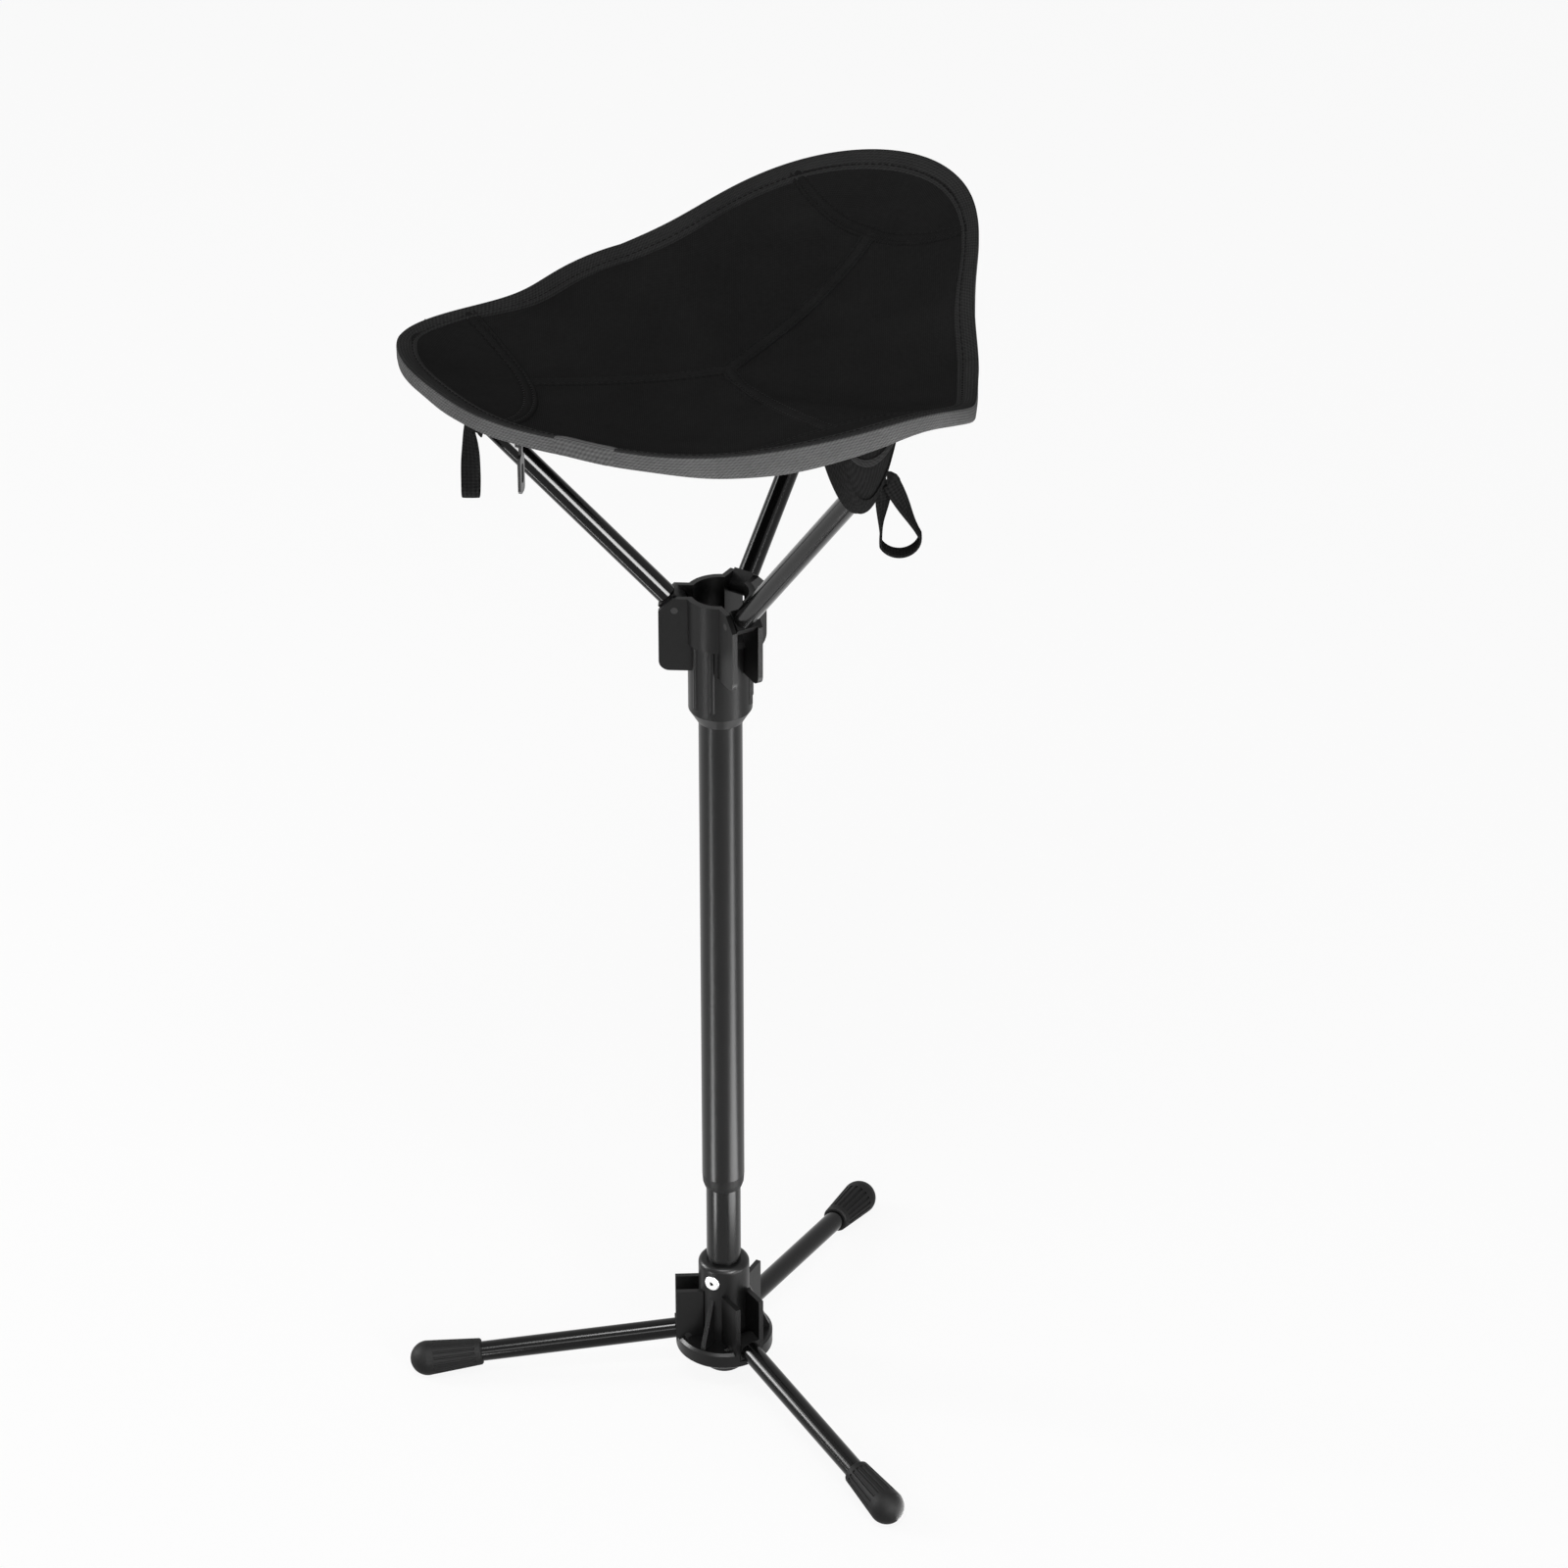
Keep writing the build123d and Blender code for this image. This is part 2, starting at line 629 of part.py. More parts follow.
def zip_line():
    """Returns the height of the zip's top face at its start and its rise per millimetre, clear of the panel."""
    heading = radians(rod_angle["left"] + zip_heading)
    start_x, start_y = zip_start()
    places = []
    for i in range(-2, 21):
        along = zip_length * i / 20
        levels = []
        for aside in (-zip_width / 2, 0, zip_width / 2):
            x = start_x + along * cos(heading) - aside * sin(heading)
            y = start_y + along * sin(heading) + aside * cos(heading)
            levels.append(under_height(x, y) - under_thickness)
        places.append((along, min(levels)))
    rise = (places[-1][1] - places[0][1]) / (places[-1][0] - places[0][0])
    return min(level - rise * along for along, level in places) - part_gap, rise


def on_zip():
    """Returns the frame on the zip's top face at the slider's start, with +X along the zip."""
    level, rise = zip_line()
    x, y = zip_start()
    return Pos(x, y, level) * Rot(0, 0, rod_angle["left"] + zip_heading) * Rot(0, -degrees(atan(rise)), 0)


def zip_tape():
    start = -zip_end_margin - slider_length / 2
    tape = Box(zip_length - start, zip_width, zip_thickness, align=(Align.MIN, Align.CENTER, Align.MAX))
    return on_zip() * Pos(start, 0, 0) * tape


def at_slider():
    """Returns the frame of the pull's pin, at the closed end of the zip."""
    return on_zip() * Pos(0, 0, -zip_thickness - part_gap - slider_height - slider_eye_drop)


def zip_slider():
    body = Pos(0, 0, slider_eye_drop) * Box(slider_length, slider_width, slider_height, align=BASE)
    body = fillet(body.edges().filter_by(Axis.Z), slider_width / 4)
    cheek = Box(pull_pin_diameter * 2, pull_thickness, slider_eye_drop + pull_pin_diameter * 2)
    spread = (pull_width / 3 + pull_thickness) / 2 + 2 * part_gap
    lift = slider_eye_drop / 2
    for side in (-1, 1):
        body += Pos(0, side * spread, lift) * cheek
    body += pin_along_y(pull_pin_diameter / 2, 2 * spread)
    return at_slider() * body


def zip_pull():
    neck = pull_width / 3
    ring = pin_along_y(pull_pin_diameter, neck)
    tab = Pos(0, 0, -pull_length) * Box(pull_thickness, pull_width, pull_length * 0.75, align=BASE)
    tab = fillet(tab.edges().filter_by(Axis.X), pull_width / 3)
    stem = Box(pull_thickness, neck, pull_length / 2, align=(Align.CENTER, Align.CENTER, Align.MAX))
    eye = Pos(0, 0, -pull_length + pull_eye_length) * Rot(0, 90, 0) * extrude(
        SlotOverall(pull_eye_length, pull_eye_width), amount=pull_width, both=True)
    body = ring + stem + tab - eye
    body -= pin_along_y(pull_pin_diameter / 2 + running_clearance, pull_width)
    return Pos(at_slider().position) * Rot(0, 0, rod_angle["left"] + zip_heading) * body


# Nodes

def build_nodes():
    nodes = {
        "lower_hub": lower_hub(), "pole_foot": pole_foot(), "inner_tube": inner_tube(),
        "inner_plug": inner_plug(), "hub_rivet": hub_rivet(), "leg_pins": leg_pins(),
        "pole_bush": pole_bush(), "outer_tube": outer_tube(), "tube_stop": tube_stop(),
        "upper_hub": upper_hub(), "rod_pins": rod_pins(),
    }
    leg_pieces = {"leg_tube": leg_tube(), "foot_cap": foot_cap(),
                  "leg_knuckle": knuckle(leg_nose, leg_gap, leg_diameter / 2 - leg_wall)}
    rod_pieces = {"rod_tube": rod_tube(), "rod_tip": rod_tip(),
                  "rod_knuckle": knuckle(rod_nose, rod_gap, rod_diameter / 2 - rod_wall)}
    below_floor = Pos(0, 0, -FAR) * Box(4 * FAR, 4 * FAR, FAR, align=BASE)
    for name in ARM_ORDER:
        for piece, shape in leg_pieces.items():
            nodes[f"{piece}_{name}"] = on_leg(name) * shape
        nodes[f"foot_cap_{name}"] -= below_floor
        for piece, shape in rod_pieces.items():
            nodes[f"{piece}_{name}"] = on_rod(name) * shape
    cloth = cloth_slab(0, cloth_thickness) & outline_prism(0)
    for i, name in enumerate(ARM_ORDER):
        following = ARM_ORDER[(i + 1) % 3]
        nodes[f"seat_panel_{name}_{following}"] = cloth & panel_prism(name, following)
        nodes[f"corner_patch_{name}"] = corner_patch(name)
        nodes[f"corner_pocket_{name}"] = corner_pocket(name)
        nodes[f"webbing_loop_{name}"] = webbing_loop(name)
    nodes["seat_binding"] = seat_binding()
    nodes["under_panel"] = under_panel()
    nodes["zip_tape"] = zip_tape()
    nodes["zip_slider"] = zip_slider()
    nodes["zip_pull"] = zip_pull()
    return nodes


os.makedirs("parts", exist_ok=True)
for node_name, solid in build_nodes().items():
    export_step(solid, f"parts/{node_name}.step")
print("leg slope", round(leg_slope, 3), "rod end", round(rod_end_radius, 2), round(rod_end_height, 2))
print("pivots", round(leg_pivot_radius, 3), round(rod_pivot_radius, 3), round(rod_pivot_height, 3))
print("zip", zip_line(), "pull pin", at_slider().position)
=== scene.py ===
import json
from math import atan2, cos, degrees, hypot, pi, radians, sin, sqrt, tan

import bpy
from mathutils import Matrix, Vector


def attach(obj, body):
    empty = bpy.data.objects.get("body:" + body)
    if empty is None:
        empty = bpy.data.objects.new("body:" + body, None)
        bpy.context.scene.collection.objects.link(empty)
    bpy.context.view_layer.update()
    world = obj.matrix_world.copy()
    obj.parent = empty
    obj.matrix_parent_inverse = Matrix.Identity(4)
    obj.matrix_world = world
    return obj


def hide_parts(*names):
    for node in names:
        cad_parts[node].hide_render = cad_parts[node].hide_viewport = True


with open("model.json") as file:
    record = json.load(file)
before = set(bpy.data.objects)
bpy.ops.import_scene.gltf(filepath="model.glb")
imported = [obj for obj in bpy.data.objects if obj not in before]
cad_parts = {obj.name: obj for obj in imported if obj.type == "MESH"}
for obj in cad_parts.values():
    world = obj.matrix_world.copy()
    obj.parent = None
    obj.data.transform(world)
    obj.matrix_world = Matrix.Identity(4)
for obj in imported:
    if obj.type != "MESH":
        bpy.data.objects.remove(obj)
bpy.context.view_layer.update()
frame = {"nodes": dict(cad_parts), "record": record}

# Tripod stool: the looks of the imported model. Sizes of pieces are in millimetres until a mesh is
# made, and the studio's sizes are in metres.

MM = 0.001
ARMS = ("left", "front", "back")
SEAT_BODY = "seat"

# Seat rods
arm_angle = {"left": 180.0, "front": 300.0, "back": 60.0}
seat_turn = -2.3
rod_angle = {name: angle + seat_turn for name, angle in arm_angle.items()}
rod_rise = 47.7
rod_end_radius = 163.61
rod_end_height = 681.86
rod_tip_radius = 6.2

# Cloth: tips, edges and middle, placed from the rod ends
corner_turn = {"left": 2.8, "front": 4.3, "back": -1.4}
seam_turn = {"left": 16.0, "front": -3.0, "back": -1.0}
tip_reach = {"left": 10.4, "front": 12.8, "back": 39.3}
tip_lift = {"left": 12.5, "front": 41.5, "back": 41.2}
edge_radius = {"left": 161.4, "front": 141.0, "back": 118.3}
edge_lift = {"left": 27.3, "front": 0.0, "back": 17.4}
middle_lift = -9.8
middle_shift = (5.0, 8.0)
corner_sharpness = {"left": 10.5, "front": 2.4, "back": 3.3}
corner_steepness = {"left": 2.0, "front": 1.4, "back": 3.0}
edge_steepness = 2.2
corner_sag = {"left": 1.2, "front": 3.3, "back": 1.2}
cloth_thickness = 1.6
sewn_gap = 0.15
patch_depth = {"left": 71.0, "front": 39.0, "back": 53.0}
patch_arc_radius = {"left": 130.0, "front": 130.0, "back": 260.0}
rod_ridge = {"left": 0.8, "front": 0.5, "back": 1.0}
rod_ridge_width = 6.5
rod_ridge_length = 34.0
ridge_fade_start = 4.0
ridge_fade_length = 14.0
unevenness = 0.35
form_limit = 1.2
cloth_inset = 0.6
cloth_thinning = 0.2
corner_angle = {name: rod_angle[name] + corner_turn[name] for name in ARMS}
seam_angle = {name: rod_angle[name] + seam_turn[name] for name in ARMS}
tip_radius = {name: rod_end_radius + tip_reach[name] for name in ARMS}
tip_height = {name: rod_end_height + tip_lift[name] for name in ARMS}
edge_height = {name: rod_end_height + edge_lift[name] for name in ARMS}
middle_height = rod_end_height + middle_lift

# Pockets and loops
pocket_mouth_back = {"left": 33.0, "front": 1.0, "back": 14.0}
pocket_end_reach = {"left": 8.0, "front": 10.5, "back": 14.0}
pocket_mouth_half_width = {"left": 29.0, "front": 24.0, "back": 29.0}
pocket_end_half_width = 17.0
pocket_rod_gap = 0.8
pocket_bend = 3.0
pocket_toe_start = 2.0
pocket_toe_round = 0.97
pocket_thickness = 1.2
pocket_edge_inset = 0.8
loop_length = {"left": 52.0, "front": 46.0, "back": 58.0}
loop_radius = {"left": 10.0, "front": 12.0, "back": 11.0}
loop_side = {"left": 17.5, "front": 13.4, "back": 18.5}
loop_inset = {"left": 5.0, "front": 5.0, "back": 5.0}
loop_turn = {"left": 90.0, "front": 0.0, "back": 0.0}
loop_lean = {"left": 0.0, "front": -12.0, "back": 0.0}
loop_top_radius = 3.0
loop_width = 10.0
webbing_thickness = 1.4

# Under panel and zip
under_radius = 132.0
under_edge = 13.0
under_bulge = 8.0
under_thickness = 1.2
zip_start_radius = 126.0
zip_start_turn = 36.0
zip_heading = 168.0
zip_length = 90.0
zip_level = 679.14
zip_rise = -0.097


# Mesh helpers

def grid_faces(rows, columns, ring=False):
    """Returns the quads of a grid of points, joined round its columns where it is a ring."""
    faces = []
    last = columns if ring else columns - 1
    for row in range(rows - 1):
        for column in range(last):
            following = (column + 1) % columns
            faces.append((row * columns + column, row * columns + following,
                          (row + 1) * columns + following, (row + 1) * columns + column))
    return faces


def disc_faces(rings, angles):
    """Returns the faces of a disc: a fan round its middle point, then rings of quads."""
    fan = [(0, 1 + step, 1 + (step + 1) % angles) for step in range(angles)]
    return fan + [(1 + a, 1 + d, 1 + c, 1 + b) for a, b, c, d in grid_faces(rings, angles, ring=True)]


def make_piece(name, points, faces, finish, body=SEAT_BODY, threads=None):
    """Makes a smooth mesh from points in millimetres, with a finish, on a body."""
    mesh = bpy.data.meshes.new(name)
    mesh.from_pydata([tuple(v * MM for v in point) for point in points], [], faces)
    mesh.update()
    for polygon in mesh.polygons:
        polygon.use_smooth = True
    if threads:
        layer = mesh.attributes.new("thread", "FLOAT_VECTOR", "POINT")
        layer.data.foreach_set("vector", [v * MM for pair in threads for v in (pair[0], pair[1], 0.0)])
    piece = bpy.data.objects.new(name, mesh)
    bpy.context.scene.collection.objects.link(piece)
    mesh.materials.append(finish)
    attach(piece, body)
    return piece


def thicken(piece, thickness):
    """Gives a sheet its thickness, below its face."""
    modifier = piece.modifiers.new("cloth thickness", "SOLIDIFY")
    modifier.thickness = thickness * MM
    modifier.offset = -1.0


def smoothed(share):
    """Returns a share of a change that starts and ends softly."""
    share = min(max(share, 0.0), 1.0)
    return share * share * (3 - 2 * share)


# Cloth form

def edge_place(angle):
    """Returns how near a plan angle is to a corner, and the edge and corner that it lies by."""
    turn = (angle - corner_angle["left"]) % 360
    starts = [(corner_angle[name] - corner_angle["left"]) % 360 for name in ARMS] + [360]
    sector = sum(turn >= start for start in starts[1:3])
    share = (turn - starts[sector]) / (starts[sector + 1] - starts[sector])
    corner = ARMS[sector] if share < 0.5 else ARMS[(sector + 1) % 3]
    return abs(cos(pi * share)), ARMS[sector], corner


def edge_at(angle):
    """Returns the cloth's radius and height on its edge, and its steepness there."""
    nearness, edge, corner = edge_place(angle)
    radius_share = nearness ** corner_sharpness[corner]
    height_share = nearness ** corner_sag[corner]
    radius = edge_radius[edge] + (tip_radius[corner] - edge_radius[edge]) * radius_share
    height = edge_height[edge] + (tip_height[corner] - edge_height[edge]) * height_share
    steepness = edge_steepness + (corner_steepness[corner] - edge_steepness) * nearness ** 2
    return radius, height, steepness


def cloth_height(x, y):
    """Returns the height of the stretched cloth over a plan point."""
    radius, height, steepness = edge_at(degrees(atan2(y, x)))
    share = min(hypot(x, y) / radius, form_limit)
    return middle_height + (height - middle_height) * share ** steepness


def along_arm(name, x, y):
    """Returns how far a plan point lies along a rod's direction, and how far beside it."""
    angle = radians(rod_angle[name])
    return x * cos(angle) + y * sin(angle), y * cos(angle) - x * sin(angle)


def cloth_top(x, y):
    """Returns the height of the cloth's face, with the ridges over the rods and soft unevenness."""
    height = cloth_height(x, y)
    for name in ARMS:
        ahead, aside = along_arm(name, x, y)
        inside = smoothed((ahead - rod_end_radius + rod_ridge_length) / rod_ridge_length)
        outside = 1 - smoothed((ahead - rod_end_radius - ridge_fade_start) / ridge_fade_length)
        across = max(0.0, 1 - (aside / (2 * rod_ridge_width)) ** 2) ** 2
        height += rod_ridge[name] * inside * outside * across
    swells = sin(x * 0.061 + y * 0.023) * sin(y * 0.047 - x * 0.017)
    return height + unevenness * swells


def surface_normal(height, x, y):
    """Returns the direction that faces away from a surface, given as a height over the plan."""
    step = 0.5
    slope_x = (height(x + step, y) - height(x - step, y)) / (2 * step)
    slope_y = (height(x, y + step) - height(x, y - step)) / (2 * step)
    return Vector((-slope_x, -slope_y, 1.0)).normalized()


def outline_point(angle, inset):
    """Returns a plan point set in from the cloth's edge."""
    radius = edge_at(angle)[0] - inset
    return radius * cos(radians(angle)), radius * sin(radians(angle))


# Shared effects

def socket(tree, name, kind, side, value=None):
    """Adds an input or output to a shared effect."""
    made = tree.interface.new_socket(name, in_out=side, socket_type=kind)
    if value is not None:
        made.default_value = value


def link(tree, start, end):
    """Joins an output to an input."""
    tree.links.new(start, end)


def math_node(tree, operation, first, second=None):
    """Adds a math node on sockets or plain numbers and returns its output."""
    node = tree.nodes.new("ShaderNodeMath")
    node.operation = operation
    for place, value in enumerate((first, second)):
        if value is None:
            continue
        if isinstance(value, (int, float)):
            node.inputs[place].default_value = value
        else:
            link(tree, value, node.inputs[place])
    return node.outputs[0]


def colour_mix(tree, share, dark, light):
    """Adds a mix of two colours and returns its output."""
    node = tree.nodes.new("ShaderNodeMix")
    node.data_type = "RGBA"
    link(tree, share, node.inputs["Factor"])
    link(tree, dark, node.inputs["A"])
    link(tree, light, node.inputs["B"])
    return node.outputs["Result"]


def noise(tree, coordinates, scale, detail):
    """Adds a noise texture and returns its grey output."""
    node = tree.nodes.new("ShaderNodeTexNoise")
    node.inputs["Detail"].default_value = detail
    link(tree, coordinates, node.inputs["Vector"])
    if isinstance(scale, (int, float)):
        node.inputs["Scale"].default_value = scale
    else:
        link(tree, scale, node.inputs["Scale"])
    return node.outputs["Fac"]


def new_effect(name, numbers):
    """Starts a shared effect with two colours and some numbers to set; returns it with its two ends."""
    tree = bpy.data.node_groups.new(name, "ShaderNodeTree")
    socket(tree, "Coordinates", "NodeSocketVector", "INPUT")
    for key in ("Dark", "Light"):
        socket(tree, key, "NodeSocketColor", "INPUT")
    for key, value in numbers.items():
        socket(tree, key, "NodeSocketFloat", "INPUT", value)
    socket(tree, "Colour", "NodeSocketColor", "OUTPUT")
    for key in ("Roughness", "Height"):
        socket(tree, key, "NodeSocketFloat", "OUTPUT")
    start = tree.nodes.new("NodeGroupInput")
    end = tree.nodes.new("NodeGroupOutput")
    return tree, start.outputs, end.inputs


def make_grain():
    """Moulded or coated grain: mottled colour, uneven gloss and a fine height."""
    tree, start, end = new_effect("moulded grain", {"Scale": 400.0, "Smooth": 0.3, "Rough": 0.5})
    wide_scale = 26.0
    wide_share = 0.7
    fine_share = 0.3
    fine = noise(tree, start["Coordinates"], start["Scale"], 3.0)
    wide = noise(tree, start["Coordinates"], wide_scale, 4.0)
    link(tree, colour_mix(tree, wide, start["Dark"], start["Light"]), end["Colour"])
    spread = math_node(tree, "SUBTRACT", start["Rough"], start["Smooth"])
    mottle = math_node(tree, "ADD", math_node(tree, "MULTIPLY", wide, wide_share),
                       math_node(tree, "MULTIPLY", fine, fine_share))
    rough = math_node(tree, "ADD", start["Smooth"], math_node(tree, "MULTIPLY", spread, mottle))
    link(tree, rough, end["Roughness"])
    link(tree, fine, end["Height"])
    return tree


def make_weave():
    """Woven threads: two sets of waves that cross, with uneven colour from thread to thread."""
    tree, start, end = new_effect("woven threads", {"Warp": 900.0, "Weft": 900.0, "Lean": 0.0})
    parts = tree.nodes.new("ShaderNodeSeparateXYZ")
    link(tree, start["Coordinates"], parts.inputs[0])
    lean = math_node(tree, "MULTIPLY", parts.outputs[1], start["Lean"])
    leaning = math_node(tree, "ADD", parts.outputs[0], lean)
    along = math_node(tree, "MULTIPLY", math_node(tree, "MULTIPLY", leaning, start["Warp"]), 2 * pi)
    warp = math_node(tree, "SINE", along)
    across = math_node(tree, "MULTIPLY", math_node(tree, "MULTIPLY", parts.outputs[1], start["Weft"]), 2 * pi)
    weft = math_node(tree, "SINE", across)
    crossing = math_node(tree, "MULTIPLY", math_node(tree, "ADD", warp, weft), 0.25)
    height = math_node(tree, "ADD", crossing, 0.5)
    patchy_scale = 34.0
    slub_scale = 420.0
    patchy = noise(tree, start["Coordinates"], patchy_scale, 5.0)
    slub = noise(tree, start["Coordinates"], slub_scale, 2.0)
    shade = math_node(tree, "ADD", math_node(tree, "MULTIPLY", height, 0.45),
                      math_node(tree, "MULTIPLY", patchy, 0.3))
    shade = math_node(tree, "ADD", shade, math_node(tree, "MULTIPLY", slub, 0.25))
    link(tree, colour_mix(tree, shade, start["Dark"], start["Light"]), end["Colour"])
    link(tree, math_node(tree, "ADD", 0.98, math_node(tree, "MULTIPLY", shade, -0.2)), end["Roughness"])
    link(tree, math_node(tree, "ADD", height, math_node(tree, "MULTIPLY", slub, 0.4)), end["Height"])
    return tree


GRAIN = make_grain()
WEAVE = make_weave()
BUMP_DISTANCE = 0.0004


def finish_base(name, bump):
    """Starts a material: its shader and the bump that feeds it."""
    finish = bpy.data.materials.new(name)
    finish.use_nodes = True
    tree = finish.node_tree
    shader = tree.nodes["Principled BSDF"]
    relief = tree.nodes.new("ShaderNodeBump")
    relief.inputs["Strength"].default_value = bump
    relief.inputs["Distance"].default_value = BUMP_DISTANCE
    link(tree, relief.outputs["Normal"], shader.inputs["Normal"])
    return finish, tree, shader, relief


def use_effect(tree, effect, values, shader, relief, coordinates):
    """Feeds a shader and its bump from a shared effect."""
    node = tree.nodes.new("ShaderNodeGroup")
    node.node_tree = effect
    for key, value in values.items():
        node.inputs[key].default_value = value
    link(tree, coordinates, node.inputs["Coordinates"])
    link(tree, node.outputs["Colour"], shader.inputs["Base Color"])
    link(tree, node.outputs["Roughness"], shader.inputs["Roughness"])
    link(tree, node.outputs["Height"], relief.inputs["Height"])


def grey(value):
    """Returns a plain grey colour."""
    return (value, value, value, 1.0)


def moulded(name, dark, light, smooth, rough, scale, bump, metal=0.0, specular=0.5):
    """A moulded, coated or metal finish from the grain effect."""
    finish, tree, shader, relief = finish_base(name, bump)
    shader.inputs["Metallic"].default_value = metal
    shader.inputs["Specular IOR Level"].default_value = specular
    place = tree.nodes.new("ShaderNodeTexCoord").outputs["Object"]
    values = {"Scale": scale, "Dark": grey(dark), "Light": grey(light), "Smooth": smooth, "Rough": rough}
    use_effect(tree, GRAIN, values, shader, relief, place)
    return finish


def woven(name, dark, light, warp, weft, lean, bump, along_threads=False):
    """A woven finish without gloss, along the piece's own threads where told."""
    finish, tree, shader, relief = finish_base(name, bump)
    shader.inputs["Specular IOR Level"].default_value = 0.0
    if along_threads:
        node = tree.nodes.new("ShaderNodeAttribute")
        node.attribute_name = "thread"
        place = node.outputs["Vector"]
    else:
        place = tree.nodes.new("ShaderNodeTexCoord").outputs["Object"]
    values = {"Warp": warp, "Weft": weft, "Lean": lean, "Dark": grey(dark), "Light": grey(light)}
    use_effect(tree, WEAVE, values, shader, relief, place)
    return finish


# Dark and light grey, lowest and highest roughness, scale of the grain, bump
HUB_PLASTIC = moulded("satin hub plastic", 0.003, 0.006, 0.28, 0.42, 1400.0, 0.10, specular=0.18)
NYLON = moulded("black nylon", 0.003, 0.006, 0.38, 0.55, 1600.0, 0.12, specular=0.16)
FOOT_RUBBER = moulded("foot rubber", 0.004, 0.009, 0.50, 0.72, 2200.0, 0.25, specular=0.12)
POLE_COAT = moulded("matte pole coat", 0.003, 0.006, 0.26, 0.33, 2600.0, 0.05, specular=0.22)
INNER_POLE = moulded("satin inner pole", 0.003, 0.005, 0.20, 0.27, 2600.0, 0.04, specular=0.22)
STRUT_COAT = moulded("gloss strut coat", 0.0015, 0.003, 0.11, 0.17, 900.0, 0.008, specular=0.18)
RIVET_METAL = moulded("rivet aluminium", 0.62, 0.80, 0.22, 0.38, 900.0, 0.06, metal=1.0)
PIN_STEEL = moulded("blackened pin steel", 0.010, 0.022, 0.25, 0.40, 900.0, 0.05, specular=0.4)
ZIP_METAL = moulded("black zip metal", 0.006, 0.014, 0.20, 0.36, 1100.0, 0.06)
THREAD = moulded("sewing thread", 0.002, 0.006, 0.5, 0.7, 3000.0, 0.2, specular=0.05)

# Dark and light grey, threads to the metre both ways, lean of the threads, bump
SEAT_CLOTH = woven("seat cloth", 0.005, 0.025, 1000.0, 1000.0, 0.0, 0.35)
PATCH_CLOTH = woven("patch cloth", 0.005, 0.024, 1000.0, 1000.0, 0.4, 0.35)
# The seam folds are painted a little paler than the seat cloth: a painted highlight for the light caught on
# their raised ridges.
SEAM_CLOTH_PAINTED_HIGHLIGHT = woven("seam fold, painted highlight", 0.005, 0.028, 1000.0, 1000.0, 0.4, 0.35)
BINDING_TAPE = woven("binding tape", 0.008, 0.048, 420.0, 600.0, 1.0, 0.55, along_threads=True)
# The skirt is the same tape as the flange, painted much paler: painted light standing in for the lamps
# falling on its outward face.
BINDING_SKIRT_PAINTED_LIGHT = woven("binding tape, painted light on skirt", 0.026, 0.175, 420.0, 600.0, 1.0, 0.7, along_threads=True)
WEBBING = woven("loop webbing", 0.004, 0.024, 520.0, 420.0, 0.0, 0.6, along_threads=True)
ZIP_TAPE = woven("zip tape", 0.004, 0.014, 1100.0, 900.0, 0.6, 0.4)


# Rigid pieces

def dress_rigid_pieces():
    """Gives every rigid node the finish of its slot; the inner tube is glossier than the outer one."""
    finishes = {"hub_plastic": HUB_PLASTIC, "nylon": NYLON, "foot_rubber": FOOT_RUBBER,
                "pole_tube": POLE_COAT, "strut_tube": STRUT_COAT, "rivet_aluminium": RIVET_METAL,
                "pin_steel": PIN_STEEL, "zip_metal": ZIP_METAL}
    slots = {row["node"]: row["material_slot"] for row in frame["record"]["subparts"]}
    for name, node in frame["nodes"].items():
        finish = finishes.get(slots.get(name))
        if finish is None:
            continue
        if name == "inner_tube":
            finish = INNER_POLE
        node.data.materials.clear()
        node.data.materials.append(finish)


# Stitches

stitch_sides = 6
stitch_end_sink = 0.3
stitch_ring_place = 0.28
stitch_height_share = 0.4


def stitch_points(line, pitch, length, width, lift, height):
    """Returns the points and faces of thread stitches along a plan line that lies on a surface."""
    points = []
    faces = []
    sides = stitch_sides
    travelled = 0.0
    following = pitch / 2
    for (x0, y0), (x1, y1) in zip(line, line[1:]):
        run = hypot(x1 - x0, y1 - y0)
        while run > 0 and following <= travelled + run:
            share = (following - travelled) / run
            x = x0 + (x1 - x0) * share
            y = y0 + (y1 - y0) * share
            normal = surface_normal(height, x, y)
            along = Vector(((x1 - x0) / run, (y1 - y0) / run, 0.0))
            along = (along - normal * along.dot(normal)).normalized()
            across = normal.cross(along)
            middle = Vector((x, y, height(x, y))) + normal * lift
            first = len(points)
            points.append(tuple(middle - along * length / 2 - normal * stitch_end_sink))
            for place in (-stitch_ring_place, stitch_ring_place):
                for side in range(sides):
                    turn = 2 * pi * side / sides
                    ring = across * (cos(turn) * width / 2)
                    ring += normal * (sin(turn) * width * stitch_height_share)
                    points.append(tuple(middle + along * length * place + ring))
            points.append(tuple(middle + along * length / 2 - normal * stitch_end_sink))
            near = first + 1
            far = near + sides
            for side in range(sides):
                turned = (side + 1) % sides
                faces.append((first, near + turned, near + side))
                faces.append((near + side, near + turned, far + turned, far + side))
                faces.append((far + side, far + turned, far + sides))
            following += pitch
        travelled += run
    return points, faces


def make_stitches(name, lines, lift, height, pitch=3.6, length=3.0, width=1.1):
    """Makes one piece of all the stitches along some plan lines."""
    points = []
    faces = []
    for line in lines:
        more, quads = stitch_points(line, pitch, length, width, lift, height)
        faces += [tuple(i + len(points) for i in quad) for quad in quads]
        points += more
    return make_piece(name, points, faces, THREAD)


# Seat top

